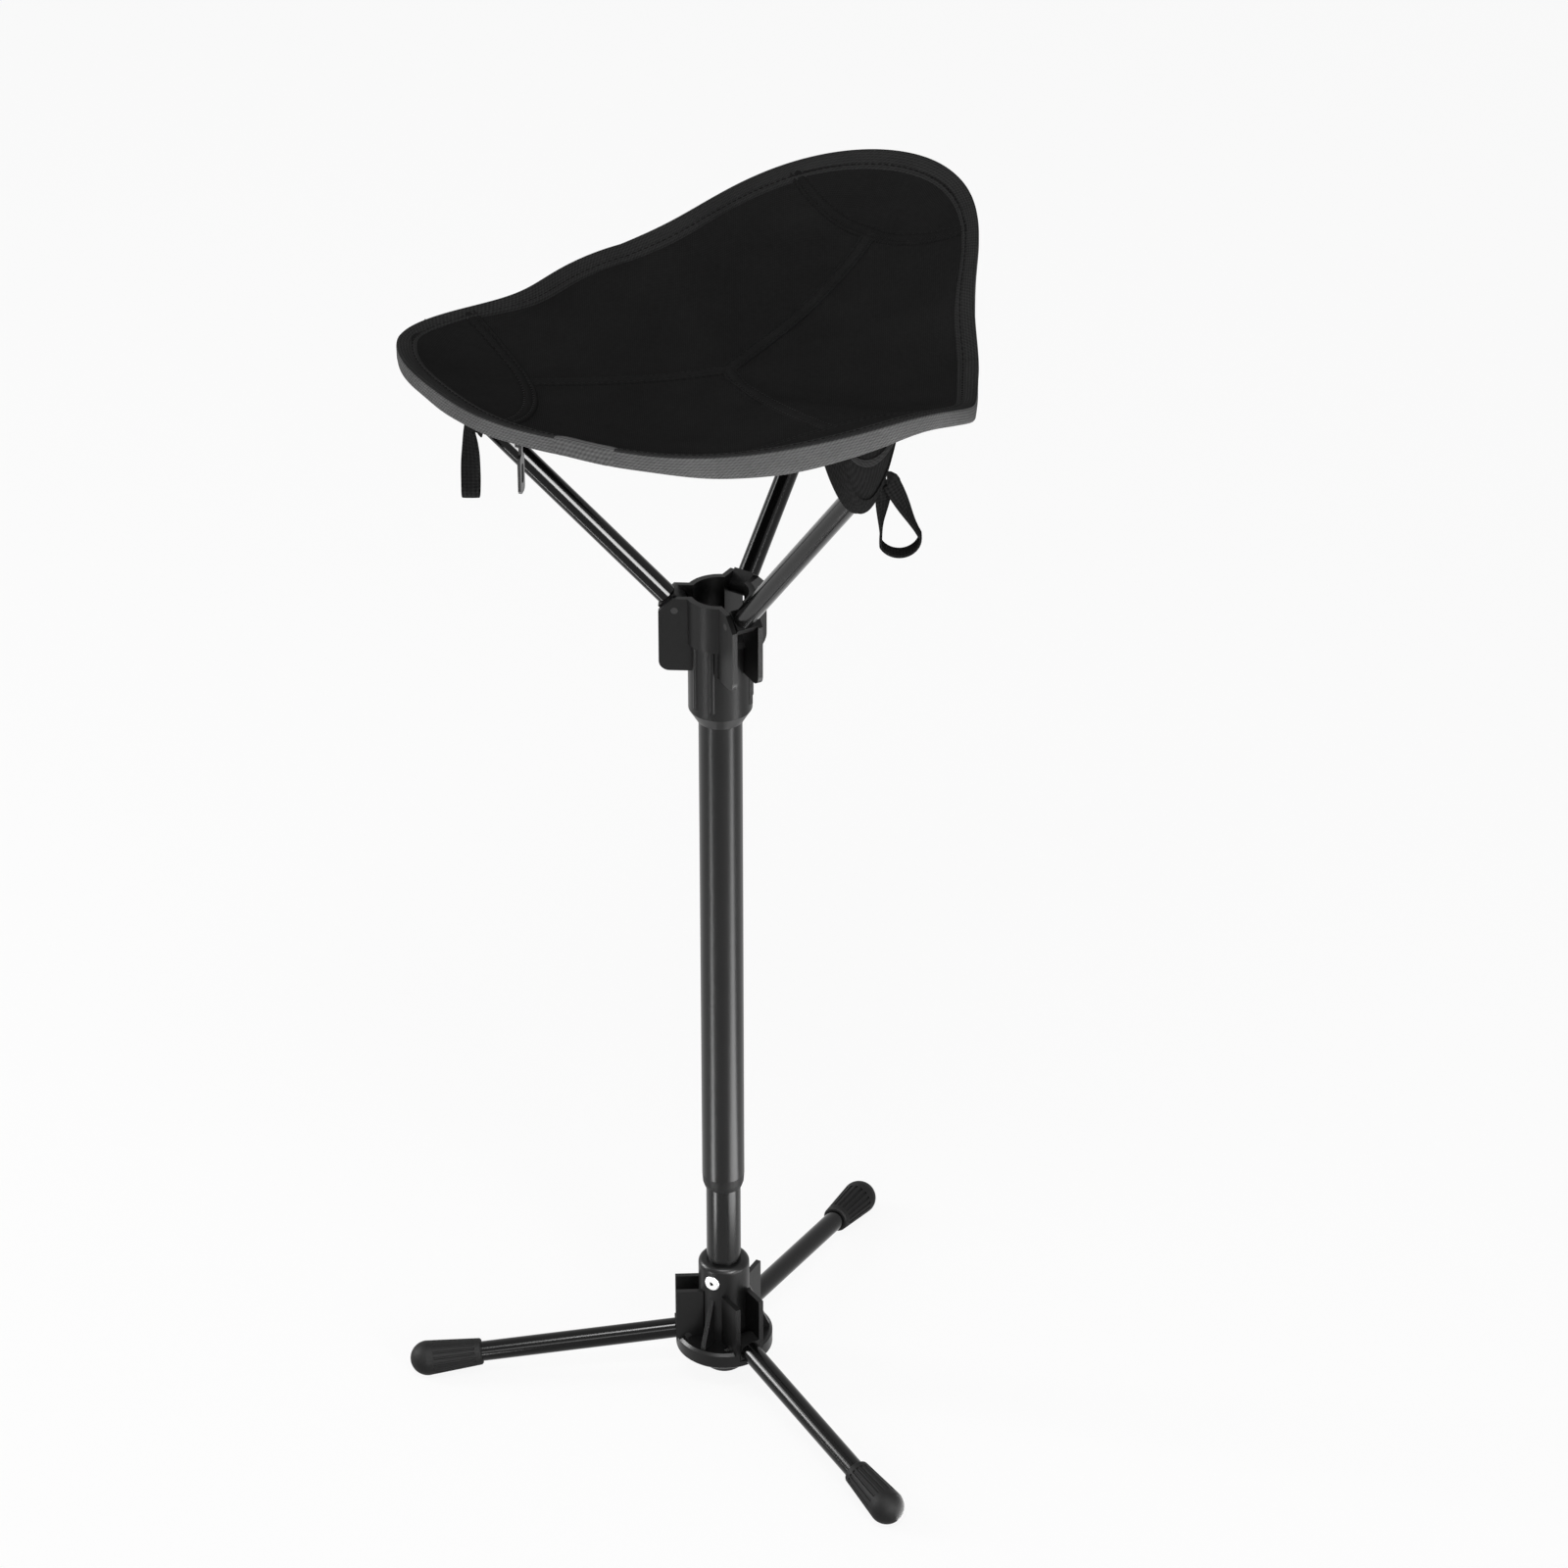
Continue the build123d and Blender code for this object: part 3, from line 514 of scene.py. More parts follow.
def make_seat_cloth():
    """The stretched top: one skin of the sewn panels, from the middle to just inside the binding."""
    angles = 360
    rings = 70
    points = [(0.0, 0.0, cloth_top(0.0, 0.0))]
    for ring in range(1, rings + 1):
        share = ring / rings
        for step in range(angles):
            angle = 360.0 * step / angles
            radius = (edge_at(angle)[0] - cloth_inset) * share
            x = radius * cos(radians(angle))
            y = radius * sin(radians(angle))
            points.append((x, y, cloth_top(x, y)))
    cloth = make_piece("seat_cloth", points, disc_faces(rings, angles), SEAT_CLOTH)
    thicken(cloth, cloth_thickness - cloth_thinning)
    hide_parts("seat_panel_left_front", "seat_panel_front_back", "seat_panel_back_left")
    return cloth


# Seams: place across, as a share of the width, and lift over the cloth
seam_width = 9.0
seam_tuck = 4.0
seam_stitch_spread = 5.6
seam_stitch_lift = 0.35
seam_bare_steps = 3
seam_half_profile = ((0.18, 1.1), (0.26, 0.9), (0.31, 0.1), (0.36, 0.9), (0.41, 1.0), (0.48, 0.6),
                     (0.5, -0.25))
seam_profile = (tuple((-place, lift) for place, lift in reversed(seam_half_profile))
                + ((0.0, 1.15),) + seam_half_profile)


def seam_line(name, steps=70):
    """Returns plan points of a seam, from the middle of the seat to just under its corner patch."""
    angle = radians(seam_angle[name])
    away_x = tip_radius[name] * cos(angle) - middle_shift[0]
    away_y = tip_radius[name] * sin(angle) - middle_shift[1]
    reach = 1 - (patch_depth[name] - seam_tuck) / hypot(away_x, away_y)
    return [(middle_shift[0] + away_x * reach * step / steps,
             middle_shift[1] + away_y * reach * step / steps) for step in range(steps + 1)]


def beside(line, offset):
    """Returns a straight plan line moved sideways."""
    (x0, y0), (x1, y1) = line[0], line[-1]
    run = hypot(x1 - x0, y1 - y0)
    return [(x - (y1 - y0) / run * offset, y + (x1 - x0) / run * offset) for x, y in line]


def make_seams():
    """The three felled seams that meet in the middle, each with two rows of stitches."""
    points = []
    faces = []
    stitch_lines = []
    for name in ARMS:
        line = seam_line(name)
        (x0, y0), (x1, y1) = line[0], line[-1]
        run = hypot(x1 - x0, y1 - y0)
        first = len(points)
        for x, y in line:
            for place, lift in seam_profile:
                px = x - (y1 - y0) / run * place * seam_width
                py = y + (x1 - x0) / run * place * seam_width
                points.append((px, py, cloth_top(px, py) + lift))
        faces += [tuple(first + i for i in quad) for quad in grid_faces(len(line), len(seam_profile))]
        for side in (-1, 1):
            stitch_lines.append(beside(line[seam_bare_steps:], side * seam_stitch_spread / 2))
    # The seam folds take the paler cloth: a painted highlight on their ridges.
    seams = make_piece("seat_seams", points, faces, SEAM_CLOTH_PAINTED_HIGHLIGHT)
    stitches = make_stitches("seam_stitches", stitch_lines, seam_stitch_lift, cloth_top)
    return seams, stitches


# Corner patches: rows by distance in from the inner edge, and lift over the cloth

patch_steps = 48
patch_fill_rows = 14
patch_rim_gap = 5.0
patch_rim_inset = 2.0
patch_rim_fall = 0.35
patch_turn_step = 0.5
patch_turn_limit = 88.0
patch_stitch_rows = (2.5, 7.5)
patch_stitch_steps = 80
patch_stitch_margin = 4
patch_stitch_lift = 0.75
patch_rows = ((0.0, -0.2), (0.15, 0.8), (0.9, 1.35), (1.8, 1.3), (2.5, 0.4), (3.2, 1.2), (5.0, 1.3),
              (6.8, 1.2), (7.5, 0.4), (8.2, 1.1), (10.0, 0.95))


def patch_arc(name, set_in, steps):
    """Returns plan points of a patch's inner edge, from one side of the corner to the other."""
    angle = radians(seam_angle[name])
    middle = tip_radius[name] - patch_depth[name] + patch_arc_radius[name]
    radius = patch_arc_radius[name] - set_in
    ends = []
    for side in (-1, 1):
        turn = 0.0
        while turn < patch_turn_limit:
            turn += patch_turn_step
            direction = angle + pi - side * radians(turn)
            x = middle * cos(angle) + radius * cos(direction)
            y = middle * sin(angle) + radius * sin(direction)
            if hypot(x, y) > edge_at(degrees(atan2(y, x)))[0] - patch_rim_gap:
                break
        ends.append(side * turn)
    line = []
    for step in range(steps + 1):
        turn = ends[0] + (ends[1] - ends[0]) * step / steps
        direction = angle + pi - radians(turn)
        line.append((middle * cos(angle) + radius * cos(direction),
                     middle * sin(angle) + radius * sin(direction)))
    return line


def make_patch(name):
    """A doubled corner patch with a turned inner edge and two sewn grooves."""
    points = []
    steps = patch_steps
    for set_in, lift in patch_rows:
        for x, y in patch_arc(name, set_in, steps):
            points.append((x, y, cloth_top(x, y) + lift))
    last_set_in, last_lift = patch_rows[-1]
    inner = patch_arc(name, last_set_in, steps)
    start_angle = degrees(atan2(inner[0][1], inner[0][0]))
    end_angle = degrees(atan2(inner[-1][1], inner[-1][0]))
    spread = (end_angle - start_angle + 180) % 360 - 180
    for row in range(1, patch_fill_rows + 1):
        share = row / patch_fill_rows
        for step, (x, y) in enumerate(inner):
            rim = outline_point(start_angle + spread * step / steps, patch_rim_inset)
            px = x + (rim[0] - x) * share
            py = y + (rim[1] - y) * share
            points.append((px, py, cloth_top(px, py) + last_lift - patch_rim_fall * share))
    faces = grid_faces(len(patch_rows) + patch_fill_rows, steps + 1)
    patch = make_piece(f"patch_{name}", points, faces, PATCH_CLOTH)
    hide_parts(f"corner_patch_{name}")
    lines = [patch_arc(name, set_in, patch_stitch_steps)[patch_stitch_margin:-patch_stitch_margin]
             for set_in in patch_stitch_rows]
    stitches = make_stitches(f"patch_stitches_{name}", lines, patch_stitch_lift, cloth_top)
    return patch, stitches


# Binding: distance out from the edge and rise, which is a share of the drop past the skirt's start

binding_profile = ((-10.6, 0.0), (-10.4, 1.1), (-9.6, 1.75), (-8.5, 1.75), (-7.8, 1.25), (-7.3, 0.95),
                   (-6.6, 1.35), (-4.0, 1.6), (-1.5, 1.65), (0.1, 1.3), (0.9, 0.5), (1.2, -0.8),
                   (1.25, -0.35), (1.3, -0.65), (1.0, -0.93), (0.6, -1.0), (0.1, -0.97), (-0.1, -0.6),
                   (-0.2, -0.1))
binding_steps = 540
rim_place = 9
skirt_start = 11
skirt_drop = 8.8
skirt_extra = 5.0
skirt_extra_angle = 283
skirt_extra_spread = 30
skirt_waves = ((0.25, 9, 0), (0.2, 23, 40))
skirt_outer_face = 0.7
flange_growth = 0.8
binding_stitch_inset = 7.3
binding_stitch_lift = 1.25
join_angles = (238.5, 251.0)
join_steps = 26
join_growth = 0.9
join_end_growth = 0.1
join_ramp = 8
join_places = (6, 17)
join_thread_steps = (1.3, 1.5)


def skirt_depth(angle):
    """Returns how far the binding hangs below the edge: further down near the front corner."""
    away = (angle - skirt_extra_angle + 180) % 360 - 180
    return skirt_drop + skirt_extra * max(0.0, 1 - (away / skirt_extra_spread) ** 2) ** 2


def binding_points(angle, grow=0.0):
    """Returns one cut through the binding, from its inner edge over the rim and down the skirt."""
    radius, height, steepness = edge_at(angle)
    along = Vector((cos(radians(angle)), sin(radians(angle)), 0.0))
    slope = (height - middle_height) * steepness / radius
    depth = skirt_depth(angle)
    wave = sum(size * sin(radians(angle * count + start)) for size, count, start in skirt_waves)
    made = []
    for place, (out, rise) in enumerate(binding_profile):
        if place < skirt_start:
            lift = rise + min(out, 0.0) * slope + grow * flange_growth
            out = out + (grow if out > 0 else 0.0)
        elif place == skirt_start:
            lift = rise
            out = out + grow
        else:
            lift = rise * depth
            out = out + wave * min(1.0, -rise) + (grow if out > skirt_outer_face else 0.0)
        made.append((along.x * (radius + out), along.y * (radius + out), height + lift))
    return made


def make_binding():
    """The tape folded over the edge: a flat flange with a corded ridge on top, and a skirt outside."""
    steps = binding_steps
    points = []
    threads = []
    travelled = 0.0
    last = None
    for step in range(steps):
        angle = 360.0 * step / steps
        cut = binding_points(angle)
        rim = Vector(cut[rim_place])
        if last is not None:
            travelled += (rim - last).length
        last = rim
        across = 0.0
        for place, point in enumerate(cut):
            if place:
                across += (Vector(point) - Vector(cut[place - 1])).length
            points.append(point)
            threads.append((travelled, across))
    columns = len(binding_profile)
    faces = []
    for step in range(steps):
        following = (step + 1) % steps
        for place in range(columns - 1):
            faces.append((step * columns + place, step * columns + place + 1,
                          following * columns + place + 1, following * columns + place))
    binding = make_piece("edge_binding", points, faces, BINDING_TAPE, threads=threads)
    # The skirt's faces take the paler tape: painted light on the face that looks outward, not a different
    # cloth.
    binding.data.materials.append(BINDING_SKIRT_PAINTED_LIGHT)
    for polygon in binding.data.polygons:
        if polygon.index % (columns - 1) >= skirt_start - 1:
            polygon.material_index = 1
    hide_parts("seat_binding")
    line = [outline_point(angle, binding_stitch_inset) for angle in range(361)]
    stitches = make_stitches("binding_stitches", [line], binding_stitch_lift, cloth_height,
                             pitch=3.8, length=2.9, width=0.8)
    return binding, stitches


def make_binding_join():
    """The short overlap where the two ends of the tape meet."""
    points = []
    threads = []
    start, end = join_angles
    first, last = join_places
    for step in range(join_steps + 1):
        share = step / join_steps
        angle = start + (end - start) * share
        grow = join_growth * min(1.0, join_ramp * min(share, 1 - share) + join_end_growth)
        for place, point in enumerate(binding_points(angle, grow)[first:last]):
            points.append(point)
            threads.append((step * join_thread_steps[0], place * join_thread_steps[1]))
    faces = [tuple(reversed(quad)) for quad in grid_faces(join_steps + 1, last - first)]
    # The overlap takes the skirt's paler tape, with its painted light.
    return make_piece("binding_join", points, faces, BINDING_SKIRT_PAINTED_LIGHT, threads=threads)


# Pockets: hem rows by distance from the mouth and growth, lip rows by distance out and rise

pocket_rows = 40
pocket_columns = 44
pocket_row_crowding = 1.4
pocket_face_gap = 0.2
pocket_fold = 0.35
pocket_sink = 0.35
pocket_closing_rows = 4
hem_rows = ((0.0, -1.2), (-0.5, 0.1), (-0.2, 0.75), (0.6, 0.9), (1.5, 0.75), (2.0, 0.3), (2.5, 0.75),
            (3.8, 0.85), (4.6, 0.3), (5.2, 0.8), (6.4, 0.85), (7.1, 0.3), (7.7, 0.75), (8.8, 0.5),
            (9.2, -0.1))
lip_rows = ((-0.5, -0.6), (-0.4, 0.5), (0.1, 1.0), (0.7, 0.9), (1.0, 0.3), (1.05, -1.2), (1.15, -2.9),
            (0.9, -3.5), (0.2, -3.6))


def pocket_point(name, ahead, aside, half_width, grow):
    """Returns a point of a pocket's face: under the rod, and up to the cloth at its sides and toe."""
    angle = radians(rod_angle[name])
    x = ahead * cos(angle) - aside * sin(angle)
    y = ahead * sin(angle) + aside * cos(angle)
    slope = tan(radians(rod_rise))
    past_end = ahead - rod_end_radius
    rod_axis = rod_end_height + (past_end - hypot(past_end, pocket_bend)) / 2 * slope
    rod_below = rod_axis - rod_tip_radius / cos(radians(rod_rise)) - pocket_rod_gap - grow
    sides = cloth_height(x, y) - cloth_thickness - sewn_gap - grow
    toe_start = rod_end_radius + pocket_toe_start
    toe_length = pocket_end_reach[name] - pocket_toe_start + grow
    toe = min(max((ahead - toe_start) / toe_length, 0.0), 1.0) * pocket_toe_round
    low = rod_below + (sides - rod_below) * (1 - sqrt(1 - toe ** 2))
    return x, y, sides + (low - sides) * (1 - (aside / half_width) ** 2)


def pocket_width(name, ahead):
    """Returns half of a pocket's width at a distance along its rod."""
    start = rod_end_radius - pocket_mouth_back[name]
    end = rod_end_radius + pocket_end_reach[name]
    share = (ahead - start) / (end - start)
    mouth = pocket_mouth_half_width[name]
    return mouth + (pocket_end_half_width - mouth) * share


def inside_rim(x, y, inset):
    """Returns a plan point, drawn in to the given distance from the rim where it lies beyond that."""
    radius = hypot(x, y)
    limit = edge_at(degrees(atan2(y, x)))[0] - inset
    share = min(1.0, limit / radius)
    return x * share, y * share


def make_pocket(name):
    """A cup of doubled cloth for the rod tip, with a turned hem round its mouth."""
    start = rod_end_radius - pocket_mouth_back[name]
    end = rod_end_radius + pocket_end_reach[name]
    rows = pocket_rows
    columns = pocket_columns
    points = []
    for row in range(rows + 1):
        share = 1 - (1 - row / rows) ** pocket_row_crowding
        ahead = start + (end - start) * share
        half_width = pocket_width(name, ahead)
        for column in range(columns + 1):
            aside = half_width * (2 * column / columns - 1)
            x, y, z = pocket_point(name, ahead, aside, half_width, pocket_face_gap)
            fold = pocket_fold * sin(aside * 0.55 + ahead * 0.21) * (1 - (aside / half_width) ** 2)
            points.append((*inside_rim(x, y, pocket_edge_inset), z - pocket_sink + fold))
    closing = pocket_closing_rows
    toe = points[-(columns + 1):]
    for row in range(1, closing + 1):
        for x, y, z in toe:
            top = cloth_height(x, y) - cloth_thickness
            points.append((x, y, z + (top - z) * row / closing))
    faces = grid_faces(rows + closing + 1, columns + 1)
    pocket = make_piece(f"pocket_{name}", points, faces, PATCH_CLOTH)
    thicken(pocket, pocket_thickness)
    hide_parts(f"corner_pocket_{name}")
    hem = []
    for forward, grow in hem_rows:
        ahead = start + forward
        half_width = pocket_width(name, ahead)
        for column in range(columns + 1):
            aside = half_width * (2 * column / columns - 1)
            hem.append(pocket_point(name, ahead, aside, half_width, pocket_thickness + grow + pocket_sink))
    faces = grid_faces(len(hem_rows), columns + 1)
    band = make_piece(f"pocket_hem_{name}", hem, faces, PATCH_CLOTH)
    return pocket, band


def make_pocket_lip(name):
    """The taped edge of a pocket's toe, which stands a little open under the binding."""
    ahead = rod_end_radius + pocket_end_reach[name]
    angle = radians(rod_angle[name])
    columns = pocket_columns
    points = []
    threads = []
    for out, rise in lip_rows:
        for column in range(columns + 1):
            aside = pocket_end_half_width * (2 * column / columns - 1)
            x, y, z = pocket_point(name, ahead, aside, pocket_end_half_width, pocket_face_gap)
            points.append((*inside_rim(x + out * cos(angle), y + out * sin(angle), 0.0), z + rise))
            threads.append((aside, rise))
    faces = [tuple(reversed(quad)) for quad in grid_faces(len(lip_rows), columns + 1)]
    return make_piece(f"pocket_lip_{name}", points, faces, BINDING_TAPE, threads=threads)


# Webbing loops

loop_top_steps = 12
loop_bottom_steps = 40
loop_twist = 72
loop_twist_share = 0.34
strap_profile = ((-0.5, 0.0), (-0.47, 0.42), (-0.3, 0.5), (0.0, 0.52), (0.3, 0.5), (0.47, 0.42),
                 (0.5, 0.0), (0.47, -0.42), (0.3, -0.5), (0.0, -0.52), (-0.3, -0.5), (-0.47, -0.42))


def loop_path(name, steps=96):
    """Returns a hanging loop's middle line: places across and up, share of its length, and length."""
    low = loop_radius[name] - webbing_thickness / 2
    high = loop_top_radius - webbing_thickness / 2
    low_middle = loop_radius[name] - loop_length[name]
    high_middle = -loop_top_radius
    lean = (low - high) / (high_middle - low_middle)
    tilt = sqrt(1 - lean * lean)
    corners = []
    open_angle = atan2(-lean, tilt)
    for step in range(loop_top_steps + 1):
        turn = pi / 2 + (open_angle - pi / 2) * step / loop_top_steps
        corners.append((high * cos(turn), high_middle + high * sin(turn)))
    for step in range(loop_bottom_steps + 1):
        turn = open_angle + (-pi - 2 * open_angle) * step / loop_bottom_steps
        corners.append((low * cos(turn), low_middle + low * sin(turn)))
    for step in range(loop_top_steps + 1):
        turn = pi - open_angle + (pi / 2 - pi + open_angle) * step / loop_top_steps
        corners.append((high * cos(turn), high_middle + high * sin(turn)))
    lengths = [0.0]
    for (x0, z0), (x1, z1) in zip(corners, corners[1:]):
        lengths.append(lengths[-1] + hypot(x1 - x0, z1 - z0))
    made = []
    place = 0
    for step in range(steps + 1):
        wanted = lengths[-1] * step / steps
        while place < len(lengths) - 2 and lengths[place + 1] < wanted:
            place += 1
        share = (wanted - lengths[place]) / max(lengths[place + 1] - lengths[place], 1e-9)
        (x0, z0), (x1, z1) = corners[place], corners[place + 1]
        made.append((x0 + (x1 - x0) * share, z0 + (z1 - z0) * share, wanted / lengths[-1], wanted))
    return made


def make_loop(name):
    """A loop of flat webbing, sewn face on at its ends and turning edge on at its bottom."""
    ahead = rod_end_radius - pocket_mouth_back[name] + loop_inset[name]
    x, y, level = pocket_point(name, ahead, loop_side[name], pocket_mouth_half_width[name], 0)
    turn = radians(loop_turn[name])
    lean = radians(loop_lean[name])
    flat = Vector((cos(turn), sin(turn), 0.0))
    through = Vector((-sin(turn), cos(turn), 0.0))
    sideways = flat * cos(lean) - Vector((0.0, 0.0, sin(lean)))
    up = flat * sin(lean) + Vector((0.0, 0.0, cos(lean)))
    origin = Vector((x, y, level))
    path = loop_path(name)
    points = []
    threads = []
    for place, (across, rise, share, travelled) in enumerate(path):
        before = path[max(place - 1, 0)]
        after = path[min(place + 1, len(path) - 1)]
        tangent = (sideways * (after[0] - before[0]) + up * (after[1] - before[1])).normalized()
        outward = tangent.cross(through)
        near_end = 1 - smoothed(min(share, 1 - share) / loop_twist_share)
        twist = radians(loop_twist) * near_end * (1 if share < 0.5 else -1)
        wide = through * cos(twist) + outward * sin(twist)
        thick = outward * cos(twist) - through * sin(twist)
        middle = origin + sideways * across + up * rise
        for out, deep in strap_profile:
            points.append(tuple(middle + wide * (out * loop_width) + thick * (deep * webbing_thickness)))
            threads.append((travelled, out * loop_width))
    columns = len(strap_profile)
    faces = grid_faces(len(path), columns, ring=True)
    faces.append(tuple(range(columns)))
    faces.append(tuple(reversed(range((len(path) - 1) * columns, len(path) * columns))))
    loop = make_piece(f"loop_{name}", points, faces, WEBBING, threads=threads)
    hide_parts(f"webbing_loop_{name}")


# Under panel and zip: places across the tapes and depth

lining_slack = 0.5
zip_overrun = 10.0
zip_steps = 180
tooth_height = 0.45
tooth_gap = -0.2
teeth_half_width = 2.0
teeth_depth = -1
zip_tape_profile = ((-7.0, 0.0), (-6.8, -0.7), (-2.6, -0.8), (-2.2, -1.2), (-1.6, -1.9), (-0.5, -2.1),
                    (0.0, -1.9), (0.5, -2.1), (1.6, -1.9), (2.2, -1.2), (2.6, -0.8), (6.8, -0.7),
                    (7.0, 0.0), (0.0, 0.1))


def under_face(x, y):
    """Returns the height of the lining over a plan point."""
    bulge = under_bulge * max(0.0, 1 - (hypot(x, y) / under_radius) ** 2)
    return cloth_height(x, y) - cloth_thickness - sewn_gap - bulge


def make_under_panel():
    """The slack lining under the seat that makes a pocket with the zip."""
    angles = 180
    rings = 36
    points = [(0.0, 0.0, under_face(0.0, 0.0))]
    for ring in range(1, rings + 1):
        for step in range(angles):
            angle = 360.0 * step / angles
            radius = min(under_radius, edge_at(angle)[0] - under_edge) * ring / rings
            x = radius * cos(radians(angle))
            y = radius * sin(radians(angle))
            slack = lining_slack * sin(x * 0.09 + 1.0) * sin(y * 0.075) * (1 - ring / rings)
            points.append((x, y, under_face(x, y) + slack))
    panel = make_piece("seat_lining", points, disc_faces(rings, angles), SEAT_CLOTH)
    thicken(panel, under_thickness)
    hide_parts("under_panel")
    return panel


def make_zip():
    """The zip under the seat: two tapes with a row of interlocked teeth between them."""
    angle = radians(rod_angle["left"] + zip_start_turn)
    start = Vector((zip_start_radius * cos(angle), zip_start_radius * sin(angle), zip_level))
    heading = radians(rod_angle["left"] + zip_heading)
    along = Vector((cos(heading), sin(heading), zip_rise))
    across = Vector((-sin(heading), cos(heading), 0.0))
    points = []
    threads = []
    for step in range(zip_steps + 1):
        travelled = -zip_overrun + (zip_length + 2 * zip_overrun) * step / zip_steps
        tooth = tooth_height * (1 if step % 2 else tooth_gap)
        for out, deep in zip_tape_profile:
            rib = tooth if abs(out) < teeth_half_width and deep < teeth_depth else 0.0
            points.append(tuple(start + along * travelled + across * out + Vector((0, 0, deep - rib))))
            threads.append((travelled, out))
    columns = len(zip_tape_profile)
    faces = grid_faces(zip_steps + 1, columns, ring=True)
    tape = make_piece("zip_tape_and_teeth", points, faces, ZIP_TAPE, threads=threads)
    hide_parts("zip_tape")
    return tape


# Camera, light and floor

camera_lens = 142.306
camera_place = (0.0359, -3.0, 2.2608)
camera_pitch = 31.66
camera_reach = 60.0
strip_start = 0.16
strip_height = 0.004
plain_light = 0.35
floor_size = 30.0
floor_level = -0.0002
floor_glow_share = 0.9
WHITE = (1.0, 1.0, 1.0, 1.0)


def make_camera():
    """The camera that took the photograph, as fitted to the pole, legs and rods."""
    camera = bpy.data.cameras.new("photo camera")
    camera.lens = camera_lens
    camera.sensor_width = 36.0
    camera.clip_end = camera_reach
    holder = bpy.data.objects.new("photo camera", camera)
    holder.location = camera_place
    holder.rotation_euler = (radians(90 - camera_pitch), 0.0, 0.0)
    bpy.context.scene.collection.objects.link(holder)
    bpy.context.scene.camera = holder


def make_lamp(name, place, target, size, brightness, only_in_gloss=False):
    """Adds a soft lamp that faces a target, as bright as told over its whole face."""
    lamp = bpy.data.lights.new(name, "AREA")
    lamp.shape = "RECTANGLE"
    lamp.size = size[0]
    lamp.size_y = size[1]
    lamp.energy = brightness * pi * size[0] * size[1]
    holder = bpy.data.objects.new(name, lamp)
    holder.location = place
    direction = Vector(target) - Vector(place)
    holder.rotation_euler = direction.to_track_quat("-Z", "Y").to_euler()
    holder.visible_camera = False
    holder.visible_diffuse = not only_in_gloss
    bpy.context.scene.collection.objects.link(holder)
    return holder


def make_floor_strip(name, heading, length, width, brightness):
    """Adds a strip lamp that lies on the floor beside the pole and shines upwards."""
    reach = strip_start + length / 2
    place = (reach * cos(radians(heading)), reach * sin(radians(heading)), strip_height)
    holder = make_lamp(name, place, (place[0], place[1], 1.0), (length, width), brightness)
    holder.rotation_euler = (pi, 0.0, radians(heading))


def seen_directly(tree):
    """Returns a value that is one for camera, glossy and transmission rays."""
    rays = tree.nodes.new("ShaderNodeLightPath").outputs
    seen = math_node(tree, "MAXIMUM", rays["Is Camera Ray"], rays["Is Glossy Ray"])
    return math_node(tree, "MAXIMUM", seen, rays["Is Transmission Ray"])


def show_mix(tree, share, first, second, end):
    """Shows a mix of two shaders at the end of a node tree."""
    chosen = tree.nodes.new("ShaderNodeMixShader")
    link(tree, share, chosen.inputs[0])
    link(tree, first.outputs[0], chosen.inputs[1])
    link(tree, second.outputs[0], chosen.inputs[2])
    link(tree, chosen.outputs[0], tree.nodes[end].inputs["Surface"])


def make_world():
    """A white surround that lights the stool less than it shows."""
    world = bpy.data.worlds.new("studio")
    bpy.context.scene.world = world
    world.use_nodes = True
    tree = world.node_tree
    plain = tree.nodes["Background"]
    plain.inputs["Color"].default_value = WHITE
    plain.inputs["Strength"].default_value = plain_light
    white = tree.nodes.new("ShaderNodeBackground")
    white.inputs["Color"].default_value = WHITE
    white.inputs["Strength"].default_value = 1.0
    show_mix(tree, seen_directly(tree), plain, white, "World Output")


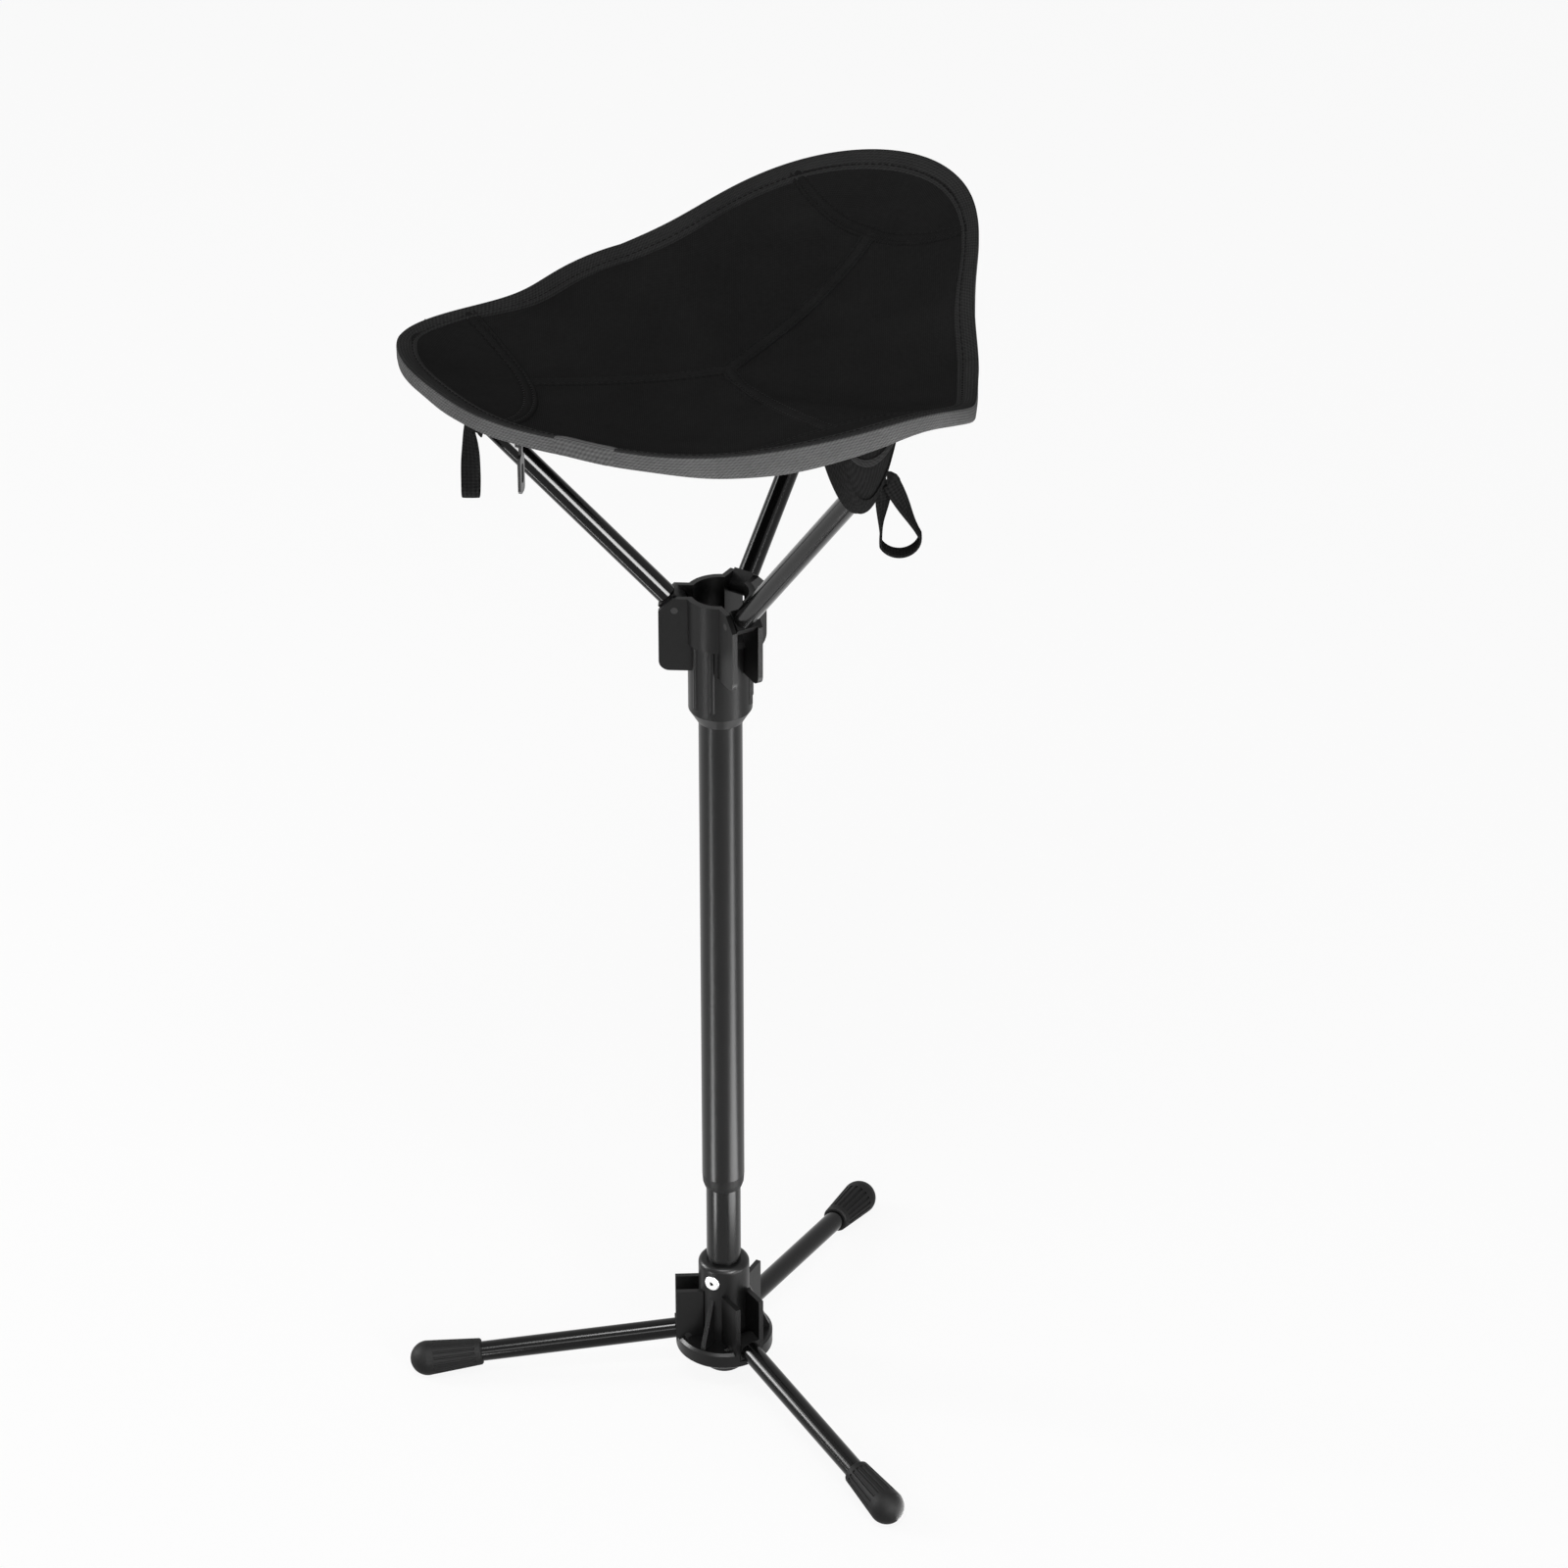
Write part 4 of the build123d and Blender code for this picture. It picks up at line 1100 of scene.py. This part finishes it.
def make_floor():
    """A pale floor that glows where it is seen, so that it stays nearly white with soft shadows."""
    bpy.ops.mesh.primitive_plane_add(size=floor_size, location=(0.0, 0.0, floor_level))
    floor = bpy.context.active_object
    floor.name = "floor"
    finish = bpy.data.materials.new("pale floor")
    finish.use_nodes = True
    tree = finish.node_tree
    shader = tree.nodes["Principled BSDF"]
    shader.inputs["Base Color"].default_value = grey(0.9)
    shader.inputs["Roughness"].default_value = 0.9
    shader.inputs["Specular IOR Level"].default_value = 0.1
    glow = tree.nodes.new("ShaderNodeEmission")
    glow.inputs["Strength"].default_value = 1.0
    share = math_node(tree, "MULTIPLY", seen_directly(tree), floor_glow_share)
    show_mix(tree, share, shader, glow, "Material Output")
    floor.data.materials.append(finish)


def make_studio():
    """The camera, surround and floor, and the lamps: place, target, size and brightness."""
    make_camera()
    make_world()
    make_floor()
    make_lamp("left softbox", (-2.05, 0.42, 1.05), (0.0, 0.0, 0.35), (0.4, 1.5), 11.0)
    make_lamp("right softbox", (1.0, -1.75, 0.62), (-0.05, 0.0, 0.58), (0.5, 1.0), 11.0)
    make_lamp("overhead softbox", (0.0, -0.95, 2.25), (0.0, 0.0, 0.3), (1.2, 0.3), 11.0)
    make_lamp("front softbox", (-0.3, -2.5, 0.95), (0.0, 0.0, 0.6), (1.0, 0.5), 6.0)
    make_lamp("left card", (-1.9, 0.40, 0.85), (0.0, 0.0, 0.1), (0.7, 0.7), 36.0, only_in_gloss=True)
    make_lamp("right card", (1.0, -1.45, 0.75), (-0.1, 0.0, 0.6), (0.8, 0.8), 36.0, only_in_gloss=True)
    make_lamp("overhead card", (0.0, -0.95, 2.20), (0.0, 0.0, 0.1), (0.9, 0.6), 36.0, only_in_gloss=True)
    make_floor_strip("left floor strip", 215.3, 0.85, 0.05, 20.0)
    make_floor_strip("right floor strip", -30.0, 0.85, 0.17, 11.0)


# Assembly

make_studio()
dress_rigid_pieces()
seat_cloth = make_seat_cloth()
seams, seam_stitches = make_seams()
for arm in ARMS:
    patch, row = make_patch(arm)
binding, binding_stitches = make_binding()
join = make_binding_join()
for arm in ARMS:
    pocket, hem = make_pocket(arm)
    make_pocket_lip(arm)
    make_loop(arm)
lining = make_under_panel()
zip_piece = make_zip()

bpy.context.scene.view_settings.view_transform = "Standard"
